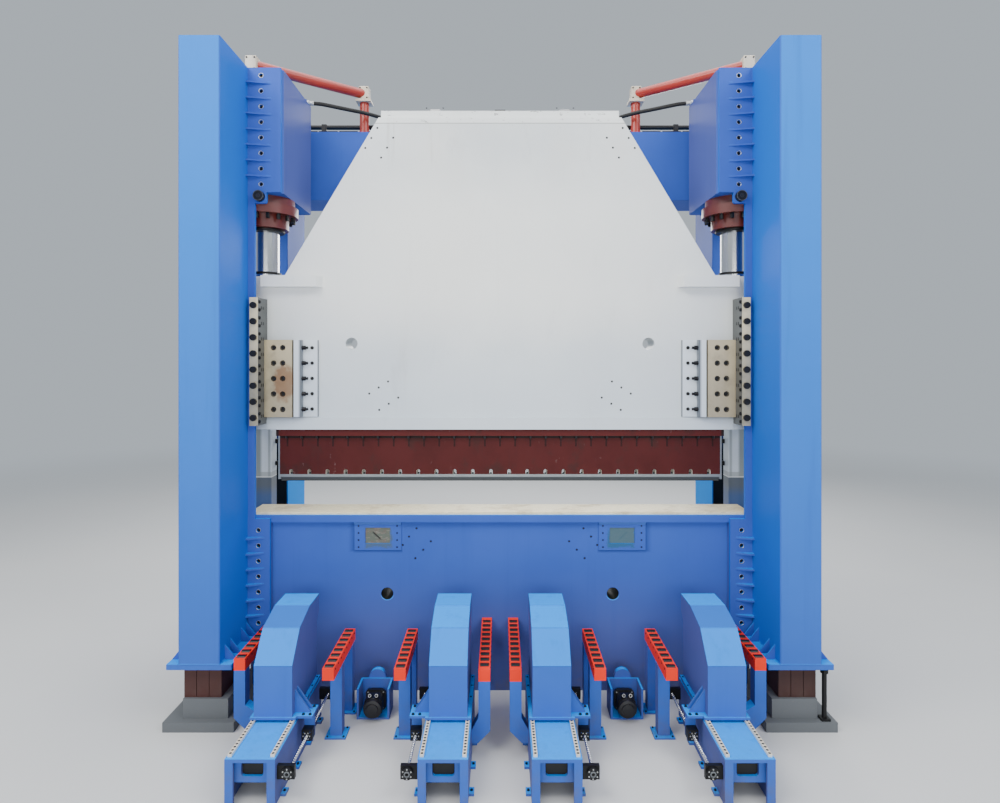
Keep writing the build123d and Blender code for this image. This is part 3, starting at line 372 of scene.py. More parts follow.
@dataclass(frozen=True)
class BackPaint(Enamel):
    """Enamel of the pieces at the back, with painted light and painted shade where they show through the gap over the
    table.

    Attributes:
        inside: painted light: the bright tone of the inner faces in the gap, which the light from behind reaches.
        front: painted shade: the near-black tone of the front faces in the gap, which it does not.
        gap: lowest and highest height of the gap.
    """

    inside: Colour = (0.0, 0.33, 0.95)
    front: Colour = (0.006, 0.009, 0.013)
    gap: tuple[float, float] = (1.6, 2.5)

    def tint(self, shader: Shader, colour: Value) -> Value:
        """Paint light on the inner faces and shade on the front faces in the gap."""
        low, high = self.gap
        height = shader.along("Z")
        within = height.between(low - 0.7, low) * height.between(high + 0.7, high)
        # Painted light on the inner faces and painted shade on the front faces in the gap.
        colour = shader.mix(within * abs(shader.facing("X")).between(0.6, 0.9), colour, self.inside)
        return shader.mix(within * shader.facing("Y").between(-0.6, -0.9), colour, self.front)


@dataclass(frozen=True)
class ColumnPaint(Enamel):
    """Enamel of the front columns, with painted shade: a deeper tone on the walls that face each other."""

    # Painted shade tone of the walls.
    wall: Colour = (0.008, 0.125, 0.56)

    def tint(self, shader: Shader, colour: Value) -> Value:
        """Paint shade on the walls with a deeper tone."""
        return shader.mix(abs(shader.facing("X")).between(0.6, 0.9) * 0.9, colour, self.wall)


@dataclass(frozen=True)
class HousingPaint(Enamel):
    """Enamel of the outer followers' housings, whose brow stays in the shade."""

    brow: tuple[float, float] = (-1.195, -0.865)

    def tint(self, shader: Shader, colour: Value) -> Value:
        """Darken the brow."""
        front, back = self.brow
        depth = shader.along("Y")
        over = depth.between(front - 0.002, front + 0.002) * depth.between(back + 0.002, back - 0.002)
        top = shader.facing("Z").between(0.7, 0.9) * shader.along("Z").between(1.1, 1.15)
        outside = abs(shader.along("X")).between(1.4, 1.6)
        return shader.mix(over * top * outside * 0.85, colour, (0.030, 0.120, 0.46))


@dataclass(frozen=True)
class BareSteel:
    """Machined steel or brass with the lines that the cutter leaves.

    Attributes:
        colour: the metal.
        stain: colour of the oil and rust on it.
        rough: roughness.
        grain: how the cutter lines are squeezed along X, Y and Z.
        spoil: share of stained surface.
        metal: how metallic it is, lower where it carries an oil film.
        contrast: share of the colour left in the deepest cutter lines.
    """

    colour: Colour
    stain: Colour
    rough: float = 0.36
    grain: Point = (1.0, 40.0, 40.0)
    spoil: float = 0.5
    metal: float = 0.8
    contrast: float = 0.86

    def material(self, name: str) -> bpy.types.Material:
        """Build the metal.

        Args:
            name: name of the material.

        Returns:
            The finished material.
        """
        shader = Shader(name)
        lines = shader.noise(14.0, 4.0, 0.7, self.grain)
        cloud = shader.noise(3.2, 4.0, 0.65, (1.0, 1.0, 1.0), 6.0)
        spots = shader.noise(30.0, 4.0, 0.7, (1.0, 1.0, 1.0), 2.0)
        spoiled = (cloud.between(0.48, 0.74) * 0.7 + spots.between(0.6, 0.8) * 0.5) * self.spoil
        tone = shader.mix(lines.between(0.35, 0.65), tuple(self.contrast * part for part in self.colour),
                          self.colour)
        colour = shader.mix(spoiled, tone, self.stain)
        return shader.finish(Base_Color=colour, Metallic=self.metal * (1.0 - 0.8 * spoiled),
                             Roughness=self.rough + 0.1 * lines + 0.3 * spoiled,
                             Normal=shader.bump(lines, 0.0004))


@dataclass(frozen=True)
class DarkSteel:
    """Blackened steel, cast cases and rubber, which differ in tone and gloss only."""

    colour: Colour = rgb(26, 26, 28)
    worn: Colour = rgb(92, 90, 88)
    rough: float = 0.42
    metal: float = 0.35
    wear: float = 0.35

    def material(self, name: str) -> bpy.types.Material:
        """Build the dark finish.

        Args:
            name: name of the material.

        Returns:
            The finished material.
        """
        shader = Shader(name)
        spots = shader.noise(42.0, 4.0, 0.7)
        cloud = shader.noise(6.0, 3.0, 0.6, (1.0, 1.0, 1.0), 9.0)
        rubbed = spots.between(0.58, 0.76) * cloud.between(0.4, 0.65) * self.wear
        colour = shader.mix(rubbed, self.colour, self.worn)
        return shader.finish(Base_Color=colour, Metallic=self.metal, Roughness=self.rough + 0.15 * cloud,
                             Normal=shader.bump(spots, 0.0003))


@dataclass(frozen=True)
class Chrome:
    """Ground hard chrome with a thin oil film."""

    colour: Colour = rgb(214, 216, 218)
    rough: float = 0.12

    def material(self, name: str) -> bpy.types.Material:
        """Build the chrome.

        Args:
            name: name of the material.

        Returns:
            The finished material.
        """
        shader = Shader(name)
        rings = shader.noise(30.0, 2.0, 0.5, (0.2, 0.2, 6.0))
        film = shader.noise(4.0, 3.0, 0.6, (1.0, 1.0, 0.25), 5.0)
        colour = shader.mix(film.between(0.45, 0.8) * 0.35, self.colour, rgb(150, 146, 134))
        return shader.finish(Base_Color=colour, Metallic=1.0, Roughness=self.rough + 0.12 * film,
                             Normal=shader.bump(rings, 0.0001))


class Finish(Enum):
    """The finishes of the machine, by the record's material slots."""

    BLUE = "blue_paint"
    GREY = "grey_paint"
    OXIDE = "oxide_paint"
    CYLINDER = "cylinder_paint"
    PIPE = "pipe_paint"
    BAR = "bar_paint"
    CREAM = "cream_paint"
    BLOCK = "block_paint"
    MOTOR = "motor_paint"
    TABLE = "table_steel"
    STEEL = "bright_steel"
    CHROME = "chrome_rod"
    BLACK = "black_steel"
    IRON = "grey_iron"
    HOSE = "hose_rubber"


# Mesh making


def aimed(at: Sequence[float], along: Sequence[float]) -> Matrix:
    """Placing that puts the origin at a point and turns Z along a direction."""
    turn = Vector(along).normalized().to_track_quat("Z", "Y")
    return Matrix.Translation(Vector(at)) @ turn.to_matrix().to_4x4()


class Form:
    """A mesh under construction, in the machine's own metres."""

    def __init__(self) -> None:
        """Start an empty mesh."""
        self.work = bmesh.new()

    def block(self, low: Point, high: Point, bevel: float = 0.0) -> "Form":
        """Add a rectangular block.

        Args:
            low: its lowest corner.
            high: its highest corner.
            bevel: width of the broken edges.

        Returns:
            The form, for the next piece.
        """
        middle = [(a + b) / 2 for a, b in zip(low, high)]
        size = [abs(b - a) for a, b in zip(low, high)]
        place = Matrix.Translation(Vector(middle)) @ Matrix.Diagonal((*size, 1.0))
        made = bmesh.ops.create_cube(self.work, size=1.0, matrix=place)
        if bevel:
            edges = {edge for vert in made["verts"] for edge in vert.link_edges}
            bmesh.ops.bevel(self.work, geom=list(edges), offset=bevel, segments=2, profile=0.6,
                            affect="EDGES")
        return self

    def lathe(self, at: Sequence[float], along: Sequence[float], outline: Sequence[tuple[float, float]],
              sides: int = 32, hollow: bool = False) -> "Form":
        """Add a turned shape.

        Args:
            at: where the outline's height is 0.
            along: direction of the axis.
            outline: radius and height of each corner, from one end to the other.
            sides: faces round the axis.
            hollow: whether the outline closes on itself, as that of a ring does.

        Returns:
            The form, for the next piece.
        """
        place = aimed(at, along)
        rings = []
        for radius, height in outline:
            if radius <= 1e-6:
                rings.append([self.work.verts.new(place @ Vector((0.0, 0.0, height)))] * sides)
                continue
            rings.append([self.work.verts.new(place @ Vector((
                radius * math.cos(2 * math.pi * k / sides), radius * math.sin(2 * math.pi * k / sides),
                height))) for k in range(sides)])
        pairs = list(zip(rings, rings[1:]))
        if hollow:
            pairs.append((rings[-1], rings[0]))
        for lower, upper in pairs:
            for k in range(sides):
                corners = [lower[k], lower[(k + 1) % sides], upper[(k + 1) % sides], upper[k]]
                whole = list(dict.fromkeys(corners))
                if len(whole) > 2:
                    self.work.faces.new(whole)
        return self

    def drum(self, at: Sequence[float], along: Sequence[float], radius: float, length: float,
             sides: int = 32, bevel: float = 0.0) -> "Form":
        """Add a closed cylinder from a point along a direction, with both rims broken."""
        return self.lathe(at, along, [
            (0.0, 0.0), (radius - bevel, 0.0), (radius, bevel), (radius, length - bevel),
            (radius - bevel, length), (0.0, length)], sides)

    def ring(self, at: Sequence[float], along: Sequence[float], inner: float, outer: float,
             length: float, sides: int = 32, bevel: float = 0.0) -> "Form":
        """Add a ring of square section with its outer rims broken."""
        return self.lathe(at, along, [
            (inner, 0.0), (outer - bevel, 0.0), (outer, bevel), (outer, length - bevel),
            (outer - bevel, length), (inner, length)], sides, True)

    def prism(self, corners: Sequence[Point], run: Sequence[float]) -> "Form":
        """Add a flat outline carried along a straight run."""
        near = [self.work.verts.new(Vector(corner)) for corner in corners]
        far = [self.work.verts.new(Vector(corner) + Vector(run)) for corner in corners]
        self.work.faces.new(near)
        self.work.faces.new(list(reversed(far)))
        for k in range(len(near)):
            after = (k + 1) % len(near)
            self.work.faces.new([near[after], near[k], far[k], far[after]])
        return self

    def mesh(self, name: str) -> bpy.types.Mesh:
        """Close the form into a mesh with outward faces and crisp edges."""
        bmesh.ops.recalc_face_normals(self.work, faces=self.work.faces)
        made = bpy.data.meshes.new(name)
        self.work.to_mesh(made)
        self.work.free()
        made.shade_smooth()
        made.set_sharp_from_angle(angle=math.radians(32))
        return made


class Materials:
    """The materials of the machine, each made once and shared."""

    def __init__(self) -> None:
        """Start with none made."""
        self.made: dict[Finish, bpy.types.Material] = {}

    def get(self, finish: Finish) -> bpy.types.Material:
        """Material of a finish."""
        if finish not in self.made:
            self.made[finish] = RECIPES[finish].material(finish.value)
        return self.made[finish]


@dataclass(frozen=True)
class Spot:
    """Where one copy of a repeated shape stands.

    Attributes:
        at: foot of the copy.
        aim: direction of its axis.
        size: scale of the copy.
    """

    at: Point
    aim: Point = (0.0, -1.0, 0.0)
    size: float = 1.0


class NodeTree:
    """A Geometry Nodes tree under construction."""

    def __init__(self, name: str, inputs: Sequence[tuple[str, str, object]]) -> None:
        """Open a tree with a Geometry input and the given ones.

        Args:
            name: name of the tree.
            inputs: name, socket type and default of each further input.
        """
        self.tree = bpy.data.node_groups.new(name, "GeometryNodeTree")
        self.keys: dict[str, str] = {}
        for title, kind, default in (("Geometry", "NodeSocketGeometry", None), *inputs):
            socket = self.tree.interface.new_socket(title, in_out="INPUT", socket_type=kind)
            if default is not None:
                socket.default_value = default
            self.keys[title] = socket.identifier
        self.tree.interface.new_socket("Geometry", in_out="OUTPUT", socket_type="NodeSocketGeometry")
        self.given = self.tree.nodes.new("NodeGroupInput")

    def add(self, kind: str, settings: dict[str, object], inputs: dict[Union[str, int], object],
            output: Union[str, int] = 0) -> bpy.types.NodeSocket:
        """Add one node and hand back one of its outputs."""
        node = self.tree.nodes.new(kind)
        for key, setting in settings.items():
            setattr(node, key, setting)
        for key, given in inputs.items():
            if isinstance(given, bpy.types.NodeSocket):
                self.tree.links.new(given, node.inputs[key])
            else:
                node.inputs[key].default_value = given
        return node.outputs[output]

    def end(self, geometry: bpy.types.NodeSocket) -> None:
        """Make the result real, give it its material and close the tree."""
        real = self.add("GeometryNodeRealizeInstances", {}, {0: geometry})
        dressed = self.add("GeometryNodeSetMaterial", {}, {"Geometry": real,
                                                           "Material": self.given.outputs["Material"]})
        self.tree.links.new(dressed, self.tree.nodes.new("NodeGroupOutput").inputs[0])


class Repeater:
    """Sets a small shape on many spots with one Geometry Nodes tree."""

    def __init__(self) -> None:
        """Build the tree."""
        tree = NodeTree("Shapes on spots", (
            ("Shape", "NodeSocketObject", None), ("Spin", "NodeSocketFloat", 0.0),
            ("Seed", "NodeSocketInt", 1), ("Material", "NodeSocketMaterial", None)))
        given = tree.given.outputs
        aim = tree.add("GeometryNodeInputNamedAttribute", {"data_type": "FLOAT_VECTOR"}, {"Name": "aim"})
        size = tree.add("GeometryNodeInputNamedAttribute", {"data_type": "FLOAT"}, {"Name": "size"})
        upright = tree.add("FunctionNodeAlignRotationToVector", {"axis": "Z"}, {"Vector": aim})
        angle = tree.add("FunctionNodeRandomValue", {"data_type": "FLOAT"},
                         {2: 0.0, 3: given["Spin"], "Seed": given["Seed"]}, 1)
        twist = tree.add("FunctionNodeAxisAngleToRotation", {}, {"Axis": (0.0, 0.0, 1.0), "Angle": angle})
        turned = tree.add("FunctionNodeRotateRotation", {"rotation_space": "LOCAL"},
                          {"Rotation": upright, "Rotate By": twist})
        shape = tree.add("GeometryNodeObjectInfo", {}, {"Object": given["Shape"]}, "Geometry")
        copies = tree.add("GeometryNodeInstanceOnPoints", {}, {
            "Points": given["Geometry"], "Instance": shape, "Rotation": turned, "Scale": size})
        tree.end(copies)
        self.tree = tree

    def mesh(self, name: str, shape: Form, spots: Sequence[Spot], material: bpy.types.Material,
             spin: float, seed: int) -> bpy.types.Mesh:
        """Plain mesh of the shape on every spot.

        Args:
            name: name of the mesh.
            shape: the repeated shape, standing on the origin along Z.
            spots: where the copies stand.
            material: their material.
            spin: largest chance turn about each axis, in radians.
            seed: seed of those turns.

        Returns:
            The mesh of all the copies.
        """
        points = bpy.data.meshes.new(name)
        points.from_pydata([spot.at for spot in spots], [], [])
        points.attributes.new("aim", "FLOAT_VECTOR", "POINT")
        points.attributes.new("size", "FLOAT", "POINT")
        for k, spot in enumerate(spots):
            points.attributes["aim"].data[k].vector = spot.aim
            points.attributes["size"].data[k].value = spot.size
        pattern = bpy.data.objects.new(name + "_shape", shape.mesh(name + "_shape"))
        host = bpy.data.objects.new(name + "_spots", points)
        for each in (pattern, host):
            bpy.context.scene.collection.objects.link(each)
        result = evaluated(host, self.tree, {
            "Shape": pattern, "Spin": spin, "Seed": seed, "Material": material})
        for each in (pattern, host):
            bpy.data.objects.remove(each)
        return result


def evaluated(host: bpy.types.Object, tree: NodeTree, inputs: dict[str, object]) -> bpy.types.Mesh:
    """Run a tree on an object and hand back the result as a plain mesh.

    Args:
        host: the object whose mesh the tree reads.
        tree: the tree.
        inputs: the tree's inputs by name.

    Returns:
        The mesh, with the modifier gone from the host.
    """
    modifier = host.modifiers.new("nodes", "NODES")
    modifier.node_group = tree.tree
    for title, given in inputs.items():
        modifier[tree.keys[title]] = given
    graph = bpy.context.evaluated_depsgraph_get()
    result = bpy.data.meshes.new_from_object(host.evaluated_get(graph), depsgraph=graph)
    host.modifiers.remove(modifier)
    return result


class Assembly:
    """What the sub-assemblies share: their materials and how a piece is set up."""

    title = "assembly"

    def __init__(self, materials: Materials, repeater: Repeater) -> None:
        """Take the shared materials and the tree for repeated shapes."""
        self.materials = materials
        self.repeater = repeater

    def place(self, name: str, mesh: bpy.types.Mesh, finish: Finish, body: str = "frame") -> bpy.types.Object:
        """Make a mesh a piece of the machine.

        Args:
            name: name of the piece.
            mesh: its mesh.
            finish: its finish.
            body: the body that it moves with.

        Returns:
            The piece.
        """
        piece = bpy.data.objects.new(name, mesh)
        bpy.context.scene.collection.objects.link(piece)
        if not mesh.materials:
            mesh.materials.append(self.materials.get(finish))
        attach(piece, body)
        LOG.info("%s: %s, %d faces", self.title, name, len(mesh.polygons))
        return piece

    def form(self, name: str, form: Form, finish: Finish, body: str = "frame") -> bpy.types.Object:
        """Make a form a piece of the machine."""
        return self.place(name, form.mesh(name), finish, body)

    def repeat(self, name: str, shape: Form, spots: Sequence[Spot], finish: Finish,
               body: str = "frame", spin: float = 0.0, seed: int = 1) -> bpy.types.Object:
        """Set a small shape on many spots and make the whole one piece."""
        mesh = self.repeater.mesh(name, shape, spots, self.materials.get(finish), spin, seed)
        return self.place(name, mesh, finish, body)

    def build(self) -> None:
        """Make the assembly's pieces."""
        raise NotImplementedError


@dataclass
class Hoses(Assembly):
    """The two pressure hoses that arch from the tank's lines to the cylinder blocks.

    Attributes:
        route: distance from the middle, depth and height along the right hose.
        bore: outer diameter of the hose.
        length: real length of each hose; not used.
    """

    materials: Materials
    repeater: Repeater
    title: str = "hoses"
    bore: float = 0.050
    length: float = 1.61
    route: tuple[Point, ...] = (
        (2.485, 0.945, 7.058), (2.350, 0.945, 7.058), (2.190, 0.975, 7.036), (2.000, 1.065, 7.026),
        (1.800, 1.185, 7.028), (1.620, 1.305, 7.016), (1.400, 1.465, 7.002), (1.210, 1.575, 7.000),
        (1.050, 1.575, 7.000))

    def build(self) -> None:
        """Lay one hose on each side."""
        for side, sign in SIDES:
            curve = bpy.data.curves.new("hose_run_" + side, "CURVE")
            curve.dimensions = "3D"
            line = curve.splines.new("NURBS")
            line.points.add(len(self.route) - 1)
            for point, (across, depth, height) in zip(line.points, self.route):
                point.co = (sign * across, depth, height, 1.0)
            line.order_u = 3
            line.use_endpoint_u = True
            line.resolution_u = 12
            curve.bevel_depth = self.bore / 2
            curve.bevel_resolution = 5
            curve.use_fill_caps = True
            curve.materials.append(self.materials.get(Finish.HOSE))
            piece = bpy.data.objects.new("hose_run_" + side, curve)
            bpy.context.scene.collection.objects.link(piece)
            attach(piece, "frame")
            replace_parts(piece, "hose_" + side)
            LOG.info("%s: hose_run_%s", self.title, side)


# Studio


@dataclass
class Studio:
    """Pale floor, soft lights and the camera at the photograph's angle.

    Attributes:
        reach: half the width of the floor.
        eye: place of the lens.
        lens: focal length on a 36 mm sensor.
        rise: vertical shift of the picture.
        surroundings: light of the pale room all round.
    """

    reach: float = 60.0
    eye: Point = (0.0, -7.435, 3.75)
    lens: float = 23.4
    rise: float = -0.0415
    surroundings: Colour = (0.48, 0.53, 0.58)

    def floor(self) -> None:
        """Lay the floor."""
        mesh = bpy.data.meshes.new("studio_floor")
        far = self.reach
        mesh.from_pydata([(-far, -far, 0.0), (far, -far, 0.0), (far, far, 0.0), (-far, far, 0.0)],
                         [], [(0, 1, 2, 3)])
        shader = Shader("studio_floor")
        cloud = shader.noise(0.35, 3.0, 0.5)
        across, depth = shader.along("X"), shader.along("Y")
        away = (across * across + depth * depth).between(30.0, 700.0)
        near = shader.mix(cloud, rgb(196, 197, 198), rgb(205, 205, 204))
        mesh.materials.append(shader.finish(
            Base_Color=shader.mix(away, near, (0.0, 0.0, 0.0)), Roughness=0.6, Specular_IOR_Level=0.0,
            Emission_Color=shader.mix(away, (0.0, 0.0, 0.0), self.surroundings), Emission_Strength=1.0))
        floor = bpy.data.objects.new("studio_floor", mesh)
        bpy.context.scene.collection.objects.link(floor)

    def light(self, name: str, at: Point, towards: Point, size: tuple[float, float], power: float,
              colour: Colour = (1.0, 1.0, 1.0)) -> None:
        """Hang one soft light.

        Args:
            name: name of the light.
            at: where it hangs.
            towards: the point that it faces.
            size: width and height of its panel.
            power: watts.
            colour: tint of the light.
        """
        lamp = bpy.data.lights.new(name, "AREA")
        lamp.shape = "RECTANGLE"
        lamp.size, lamp.size_y = size
        lamp.energy = power
        lamp.color = colour
        holder = bpy.data.objects.new(name, lamp)
        holder.location = at
        aim = Vector(towards) - Vector(at)
        holder.rotation_euler = aim.to_track_quat("-Z", "Y").to_euler()
        holder.visible_camera = False
        bpy.context.scene.collection.objects.link(holder)

    def lights(self) -> None:
        """Hang the lights and set the pale surroundings."""
        world = bpy.data.worlds.new("studio")
        world.use_nodes = True
        sky = world.node_tree.nodes["Background"]
        sky.inputs["Color"].default_value = (*self.surroundings, 1.0)
        sky.inputs["Strength"].default_value = 1.0
        bpy.context.scene.world = world
        self.light("key", (-6.5, -6.0, 12.0), (0.0, 0.0, 3.0), (9.0, 5.0), 1500, (1.0, 0.99, 0.96))
        self.light("fill", (7.5, -6.5, 11.5), (0.5, 0.0, 3.0), (8.0, 5.0), 1000, (0.96, 0.98, 1.0))
        self.light("front", (0.0, -14.0, 4.0), (0.0, 0.0, 2.6), (11.0, 4.0), 900)
        self.light("roof", (0.0, 1.5, 13.5), (0.0, 0.5, 0.0), (12.0, 7.0), 1000)
        self.light("back", (2.0, 12.0, 8.5), (0.0, 1.0, 3.5), (9.0, 5.0), 1000)

    def camera(self) -> None:
        """Set the camera up."""
        lens = bpy.data.cameras.new("camera")
        lens.lens = self.lens
        lens.sensor_width = 36.0
        lens.sensor_fit = "HORIZONTAL"
        lens.shift_y = self.rise
        lens.clip_end = 300.0
        camera = bpy.data.objects.new("camera", lens)
        camera.location = self.eye
        camera.rotation_euler = (math.radians(90.0), 0.0, 0.0)
        bpy.context.scene.collection.objects.link(camera)
        bpy.context.scene.camera = camera

    def build(self) -> None:
        """Make the studio."""
        self.floor()
        self.lights()
        self.camera()
        LOG.info("studio: floor, lights, camera")


# Small shapes that repeat


def socket_screw(radius: float, height: float, depth: float = 0.6) -> Form:
    """Cap screw head with a hexagonal socket.

    Args:
        radius: radius of the head.
        height: height of the head.
        depth: share of the height that the socket goes down.

    Returns:
        The head, standing on the origin along Z.
    """
    form = Form()
    sides = 24
    flat = radius * 0.52

    def loop(size: float, level: float, hexagon: bool = False) -> list[bmesh.types.BMVert]:
        """One ring of corners, round or on a hexagon."""
        made = []
        for k in range(sides):
            angle = 2 * math.pi * k / sides
            reach = size
            if hexagon:
                reach = size / math.cos((angle + math.pi / 6) % (math.pi / 3) - math.pi / 6)
            made.append(form.work.verts.new((reach * math.cos(angle), reach * math.sin(angle), level)))
        return made

    chamfer = radius * 0.1
    floor = height * (1.0 - depth)
    loops = [loop(radius, 0.0), loop(radius, height - chamfer), loop(radius - chamfer, height),
             loop(flat, height, True), loop(flat, floor, True)]
    for lower, upper in zip(loops, loops[1:]):
        for k in range(sides):
            after = (k + 1) % sides
            form.work.faces.new([lower[k], lower[after], upper[after], upper[k]])
    form.work.faces.new(loops[-1])
    form.work.faces.new(list(reversed(loops[0])))
    return form


def hex_bolt(radius: float, height: float) -> Form:
    """Hexagon bolt head on a washer, standing on the origin along Z."""
    form = Form()
    washer = height * 0.22
    form.ring((0, 0, 0), (0, 0, 1), radius * 0.5, radius * 1.12, washer, 20, washer * 0.3)
    form.lathe((0, 0, 0), (0, 0, 1), [
        (0.0, washer * 0.5), (radius, washer * 0.5), (radius, height - radius * 0.12),
        (radius * 0.84, height), (0.0, height)], 6)
    return form


def hole_rim(inner: float, outer: float, height: float) -> Form:
    """Bare chamfered rim round a bolt hole, standing on the origin along Z."""
    return Form().lathe((0, 0, 0), (0, 0, 1), [
        (inner, 0.0), (outer, 0.0), (outer - height * 0.5, height), (inner + height, height),
        (inner, height * 0.2)], 24, True)


def dark_disc(radius: float, height: float) -> Form:
    """Flush plug or hole mouth, dished a little in the middle."""
    return Form().lathe((0, 0, 0), (0, 0, 1), [
        (0.0, 0.0), (radius, 0.0), (radius, height), (radius * 0.8, height),
        (radius * 0.7, height * 0.35), (0.0, height * 0.35)], 20)


def hex_recess(radius: float, height: float) -> Form:
    """Mouth of a hexagonal socket, standing on the origin along Z."""
    return Form().lathe((0, 0, 0), (0, 0, 1), [
        (0.0, 0.0), (radius, 0.0), (radius, height), (radius * 0.9, height),
        (radius * 0.86, height * 0.3), (0.0, height * 0.3)], 6)


def steps(first: float, last: float, count: int) -> list[float]:
    """Evenly spaced values from first to last, both included."""
    return [first + (last - first) * k / (count - 1) for k in range(count)]


# Sub-assemblies


@dataclass
class GuideFittings(Assembly):
    """Screws of the ram's guide strips and shoes, and dark slots that paint the shade of the strips' oil holes.

    Attributes:
        strip_face: distance of each strip's inner face from the middle.
        strip_front: depth of the strips' front face; not used.
        strip_low: height of the strips' lower end.
        strip_high: height of the strips' upper end.
        row_depth: depth of the row of small screws on the inner face.
        side_screws: small screws in each row.
        slot_depths: depths of the pairs of oil holes.
        slot_rows: pairs of oil holes on each strip.
        stud_depth: depth of the adjusting studs' axes.
    """

    materials: Materials
    repeater: Repeater
    title: str = "guides"
    strip_face: float = 2.695
    strip_front: float = -0.200
    strip_low: float = 3.017
    strip_high: float = 4.449
    row_depth: float = -0.168
    side_screws: int = 16
    slot_depths: tuple[float, float] = (-0.088, -0.032)
    slot_rows: int = 8
    stud_depth: float = 0.037

    def build(self) -> None:
        """Set the screws, the oil holes and the shoe's hole rims."""
        low, high = self.strip_low, self.strip_high
        for side, sign in SIDES:
            face = sign * self.strip_face
            inward = (-sign, 0.0, 0.0)
            rows = steps(low + 0.043, high - 0.049, self.side_screws)
            self.repeat(f"strip_screws_{side}", socket_screw(0.0195, 0.016, 0.4),
                        [Spot((face, self.row_depth, z), inward) for z in rows],
                        Finish.BLACK, spin=1.0, seed=3 + sign)
            holes = [Spot((face, depth, z), inward) for z in steps(low + 0.096, high - 0.110, self.slot_rows)
                     for depth in self.slot_depths]
            # Painted shade: dark slots for the oil holes.
            slot = Form().block((-0.018, -0.016, 0.0), (0.018, 0.016, 0.0008), 0.0003)
            self.repeat(f"strip_oil_slots_{side}", slot, holes, Finish.BLACK)
            self.shoe(side, sign)

    def shoe(self, side: str, sign: int) -> None:
        """Black rims in the shoe's holes, the keeper's nuts and the plate's screws."""
        low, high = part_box("guide_shoe_" + side)
        rows = steps(low.z + 0.089, high.z - 0.089, 5)
        middle = (low.x + high.x) / 2
        across = (middle - 0.052, middle + 0.052)
        rims = [Spot((x, low.y, z)) for z in rows for x in across]
        self.repeat(f"shoe_rims_{side}", hole_rim(0.0255, 0.0315, 0.0016), rims, Finish.BLACK, "ram")
        rows = steps(low.z + 0.089, high.z - 0.089, 5)
        self.repeat(f"keeper_plate_screws_{side}", socket_screw(0.020, 0.012),
                    [Spot((sign * 2.168, 0.0695, z)) for z in rows], Finish.BLACK, "ram", 1.0, 5)
        studs = Form()
        for z in rows:
            studs.drum((sign * 2.262, self.stud_depth, z), (-sign, 0, 0), 0.0135, 0.056, 16, 0.002)
            studs.drum((sign * 2.222, self.stud_depth, z), (-sign, 0, 0), 0.0175, 0.012, 6, 0.001)
        self.form(f"keeper_studs_{side}", studs, Finish.BLACK, "ram")


@dataclass
class RamFittings(Assembly):
    """Dark discs that paint the shade inside the tapped holes in the ram's front, and dark marks that paint the shadow
    at the beam's bolt slots.

    Attributes:
        face: depth of the ram's front.
        rows: first hole of each row, as distance from the middle and height, with the step to the next.
        beam_face: depth of the beam's front.
        beam_top: height at which the beam's slots begin.
        slots: number of bolt slots in the beam.
        slot_pitch: distance between them.
    """

    materials: Materials
    repeater: Repeater
    title: str = "ram"
    face: float = 0.095
    rows: tuple[tuple[float, float, float, float], ...] = (
        (1.421, 6.438, 0.070, -0.116), (1.238, 6.325, 0.070, -0.115),
        (1.297, 3.501, 0.109, -0.070), (1.179, 3.314, 0.110, -0.071))
    beam_face: float = 0.140
    beam_top: float = 2.868
    slots: int = 29
    slot_pitch: float = 0.17690

    def build(self) -> None:
        """Set the hole bottoms and the slots."""
        holes = [Spot((sign * (x + k * across), self.face + 0.0012, z + k * down))
                 for _, sign in SIDES for x, z, across, down in self.rows for k in range(3)]
        # Painted shade: dark discs inside the tapped holes.
        self.repeat("ram_hole_bottoms", dark_disc(0.0125, 0.0006), holes, Finish.MOTOR, "ram")
        slot = Form().block((-0.010, 0.0, 0.0), (0.010, 0.090, 0.0012), 0.0004)
        middle = (self.slots - 1) / 2
        spots = [Spot(((k - middle) * self.slot_pitch, self.beam_face, self.beam_top - 0.125))
                 for k in range(self.slots)]
        self.beam_ends()
        nuts = [Spot((-2.433 + 0.21157 * k, 0.168, 2.42), (0.0, 0.0, 1.0)) for k in range(24)]
        self.repeat("notch_nuts", hex_bolt(0.010, 0.020), nuts, Finish.BLACK, "ram")
        # Painted shadow: dark marks at the beam's bolt slots.
        piece = self.repeat("beam_slots", slot, spots, Finish.OXIDE, "ram")
        piece.data.materials[-1] = BeamPaint((0.026, 0.0036, 0.0032)).material("beam_slot_shadow")


    def beam_ends(self) -> None:
        """Lower half of each end plate, and the lugs on the posts behind them."""
        plates, lugs = Form(), Form()
        for low, high in solids_in("punch_end_plates"):
            plates.block((low.x, low.y, 2.358), (high.x, high.y, low.z))
        for low, high in solids_in("rear_guides"):
            side = -1 if low.x < 0 else 1
            edge = min(abs(low.x), abs(high.x))
            for level in (2.749, 2.477):
                corners = (side * (edge - 0.065), side * edge)
                lugs.block((min(corners), high.y - 0.050, level - 0.026),
                           (max(corners), high.y - 0.010, level + 0.026), 0.002)
        self.form("end_plate_feet", plates, Finish.STEEL, "ram").data.materials[0] = \
            PunchSteel(step=2.30).material("end_plate_steel")
        self.form("post_lugs", lugs, Finish.BLACK)


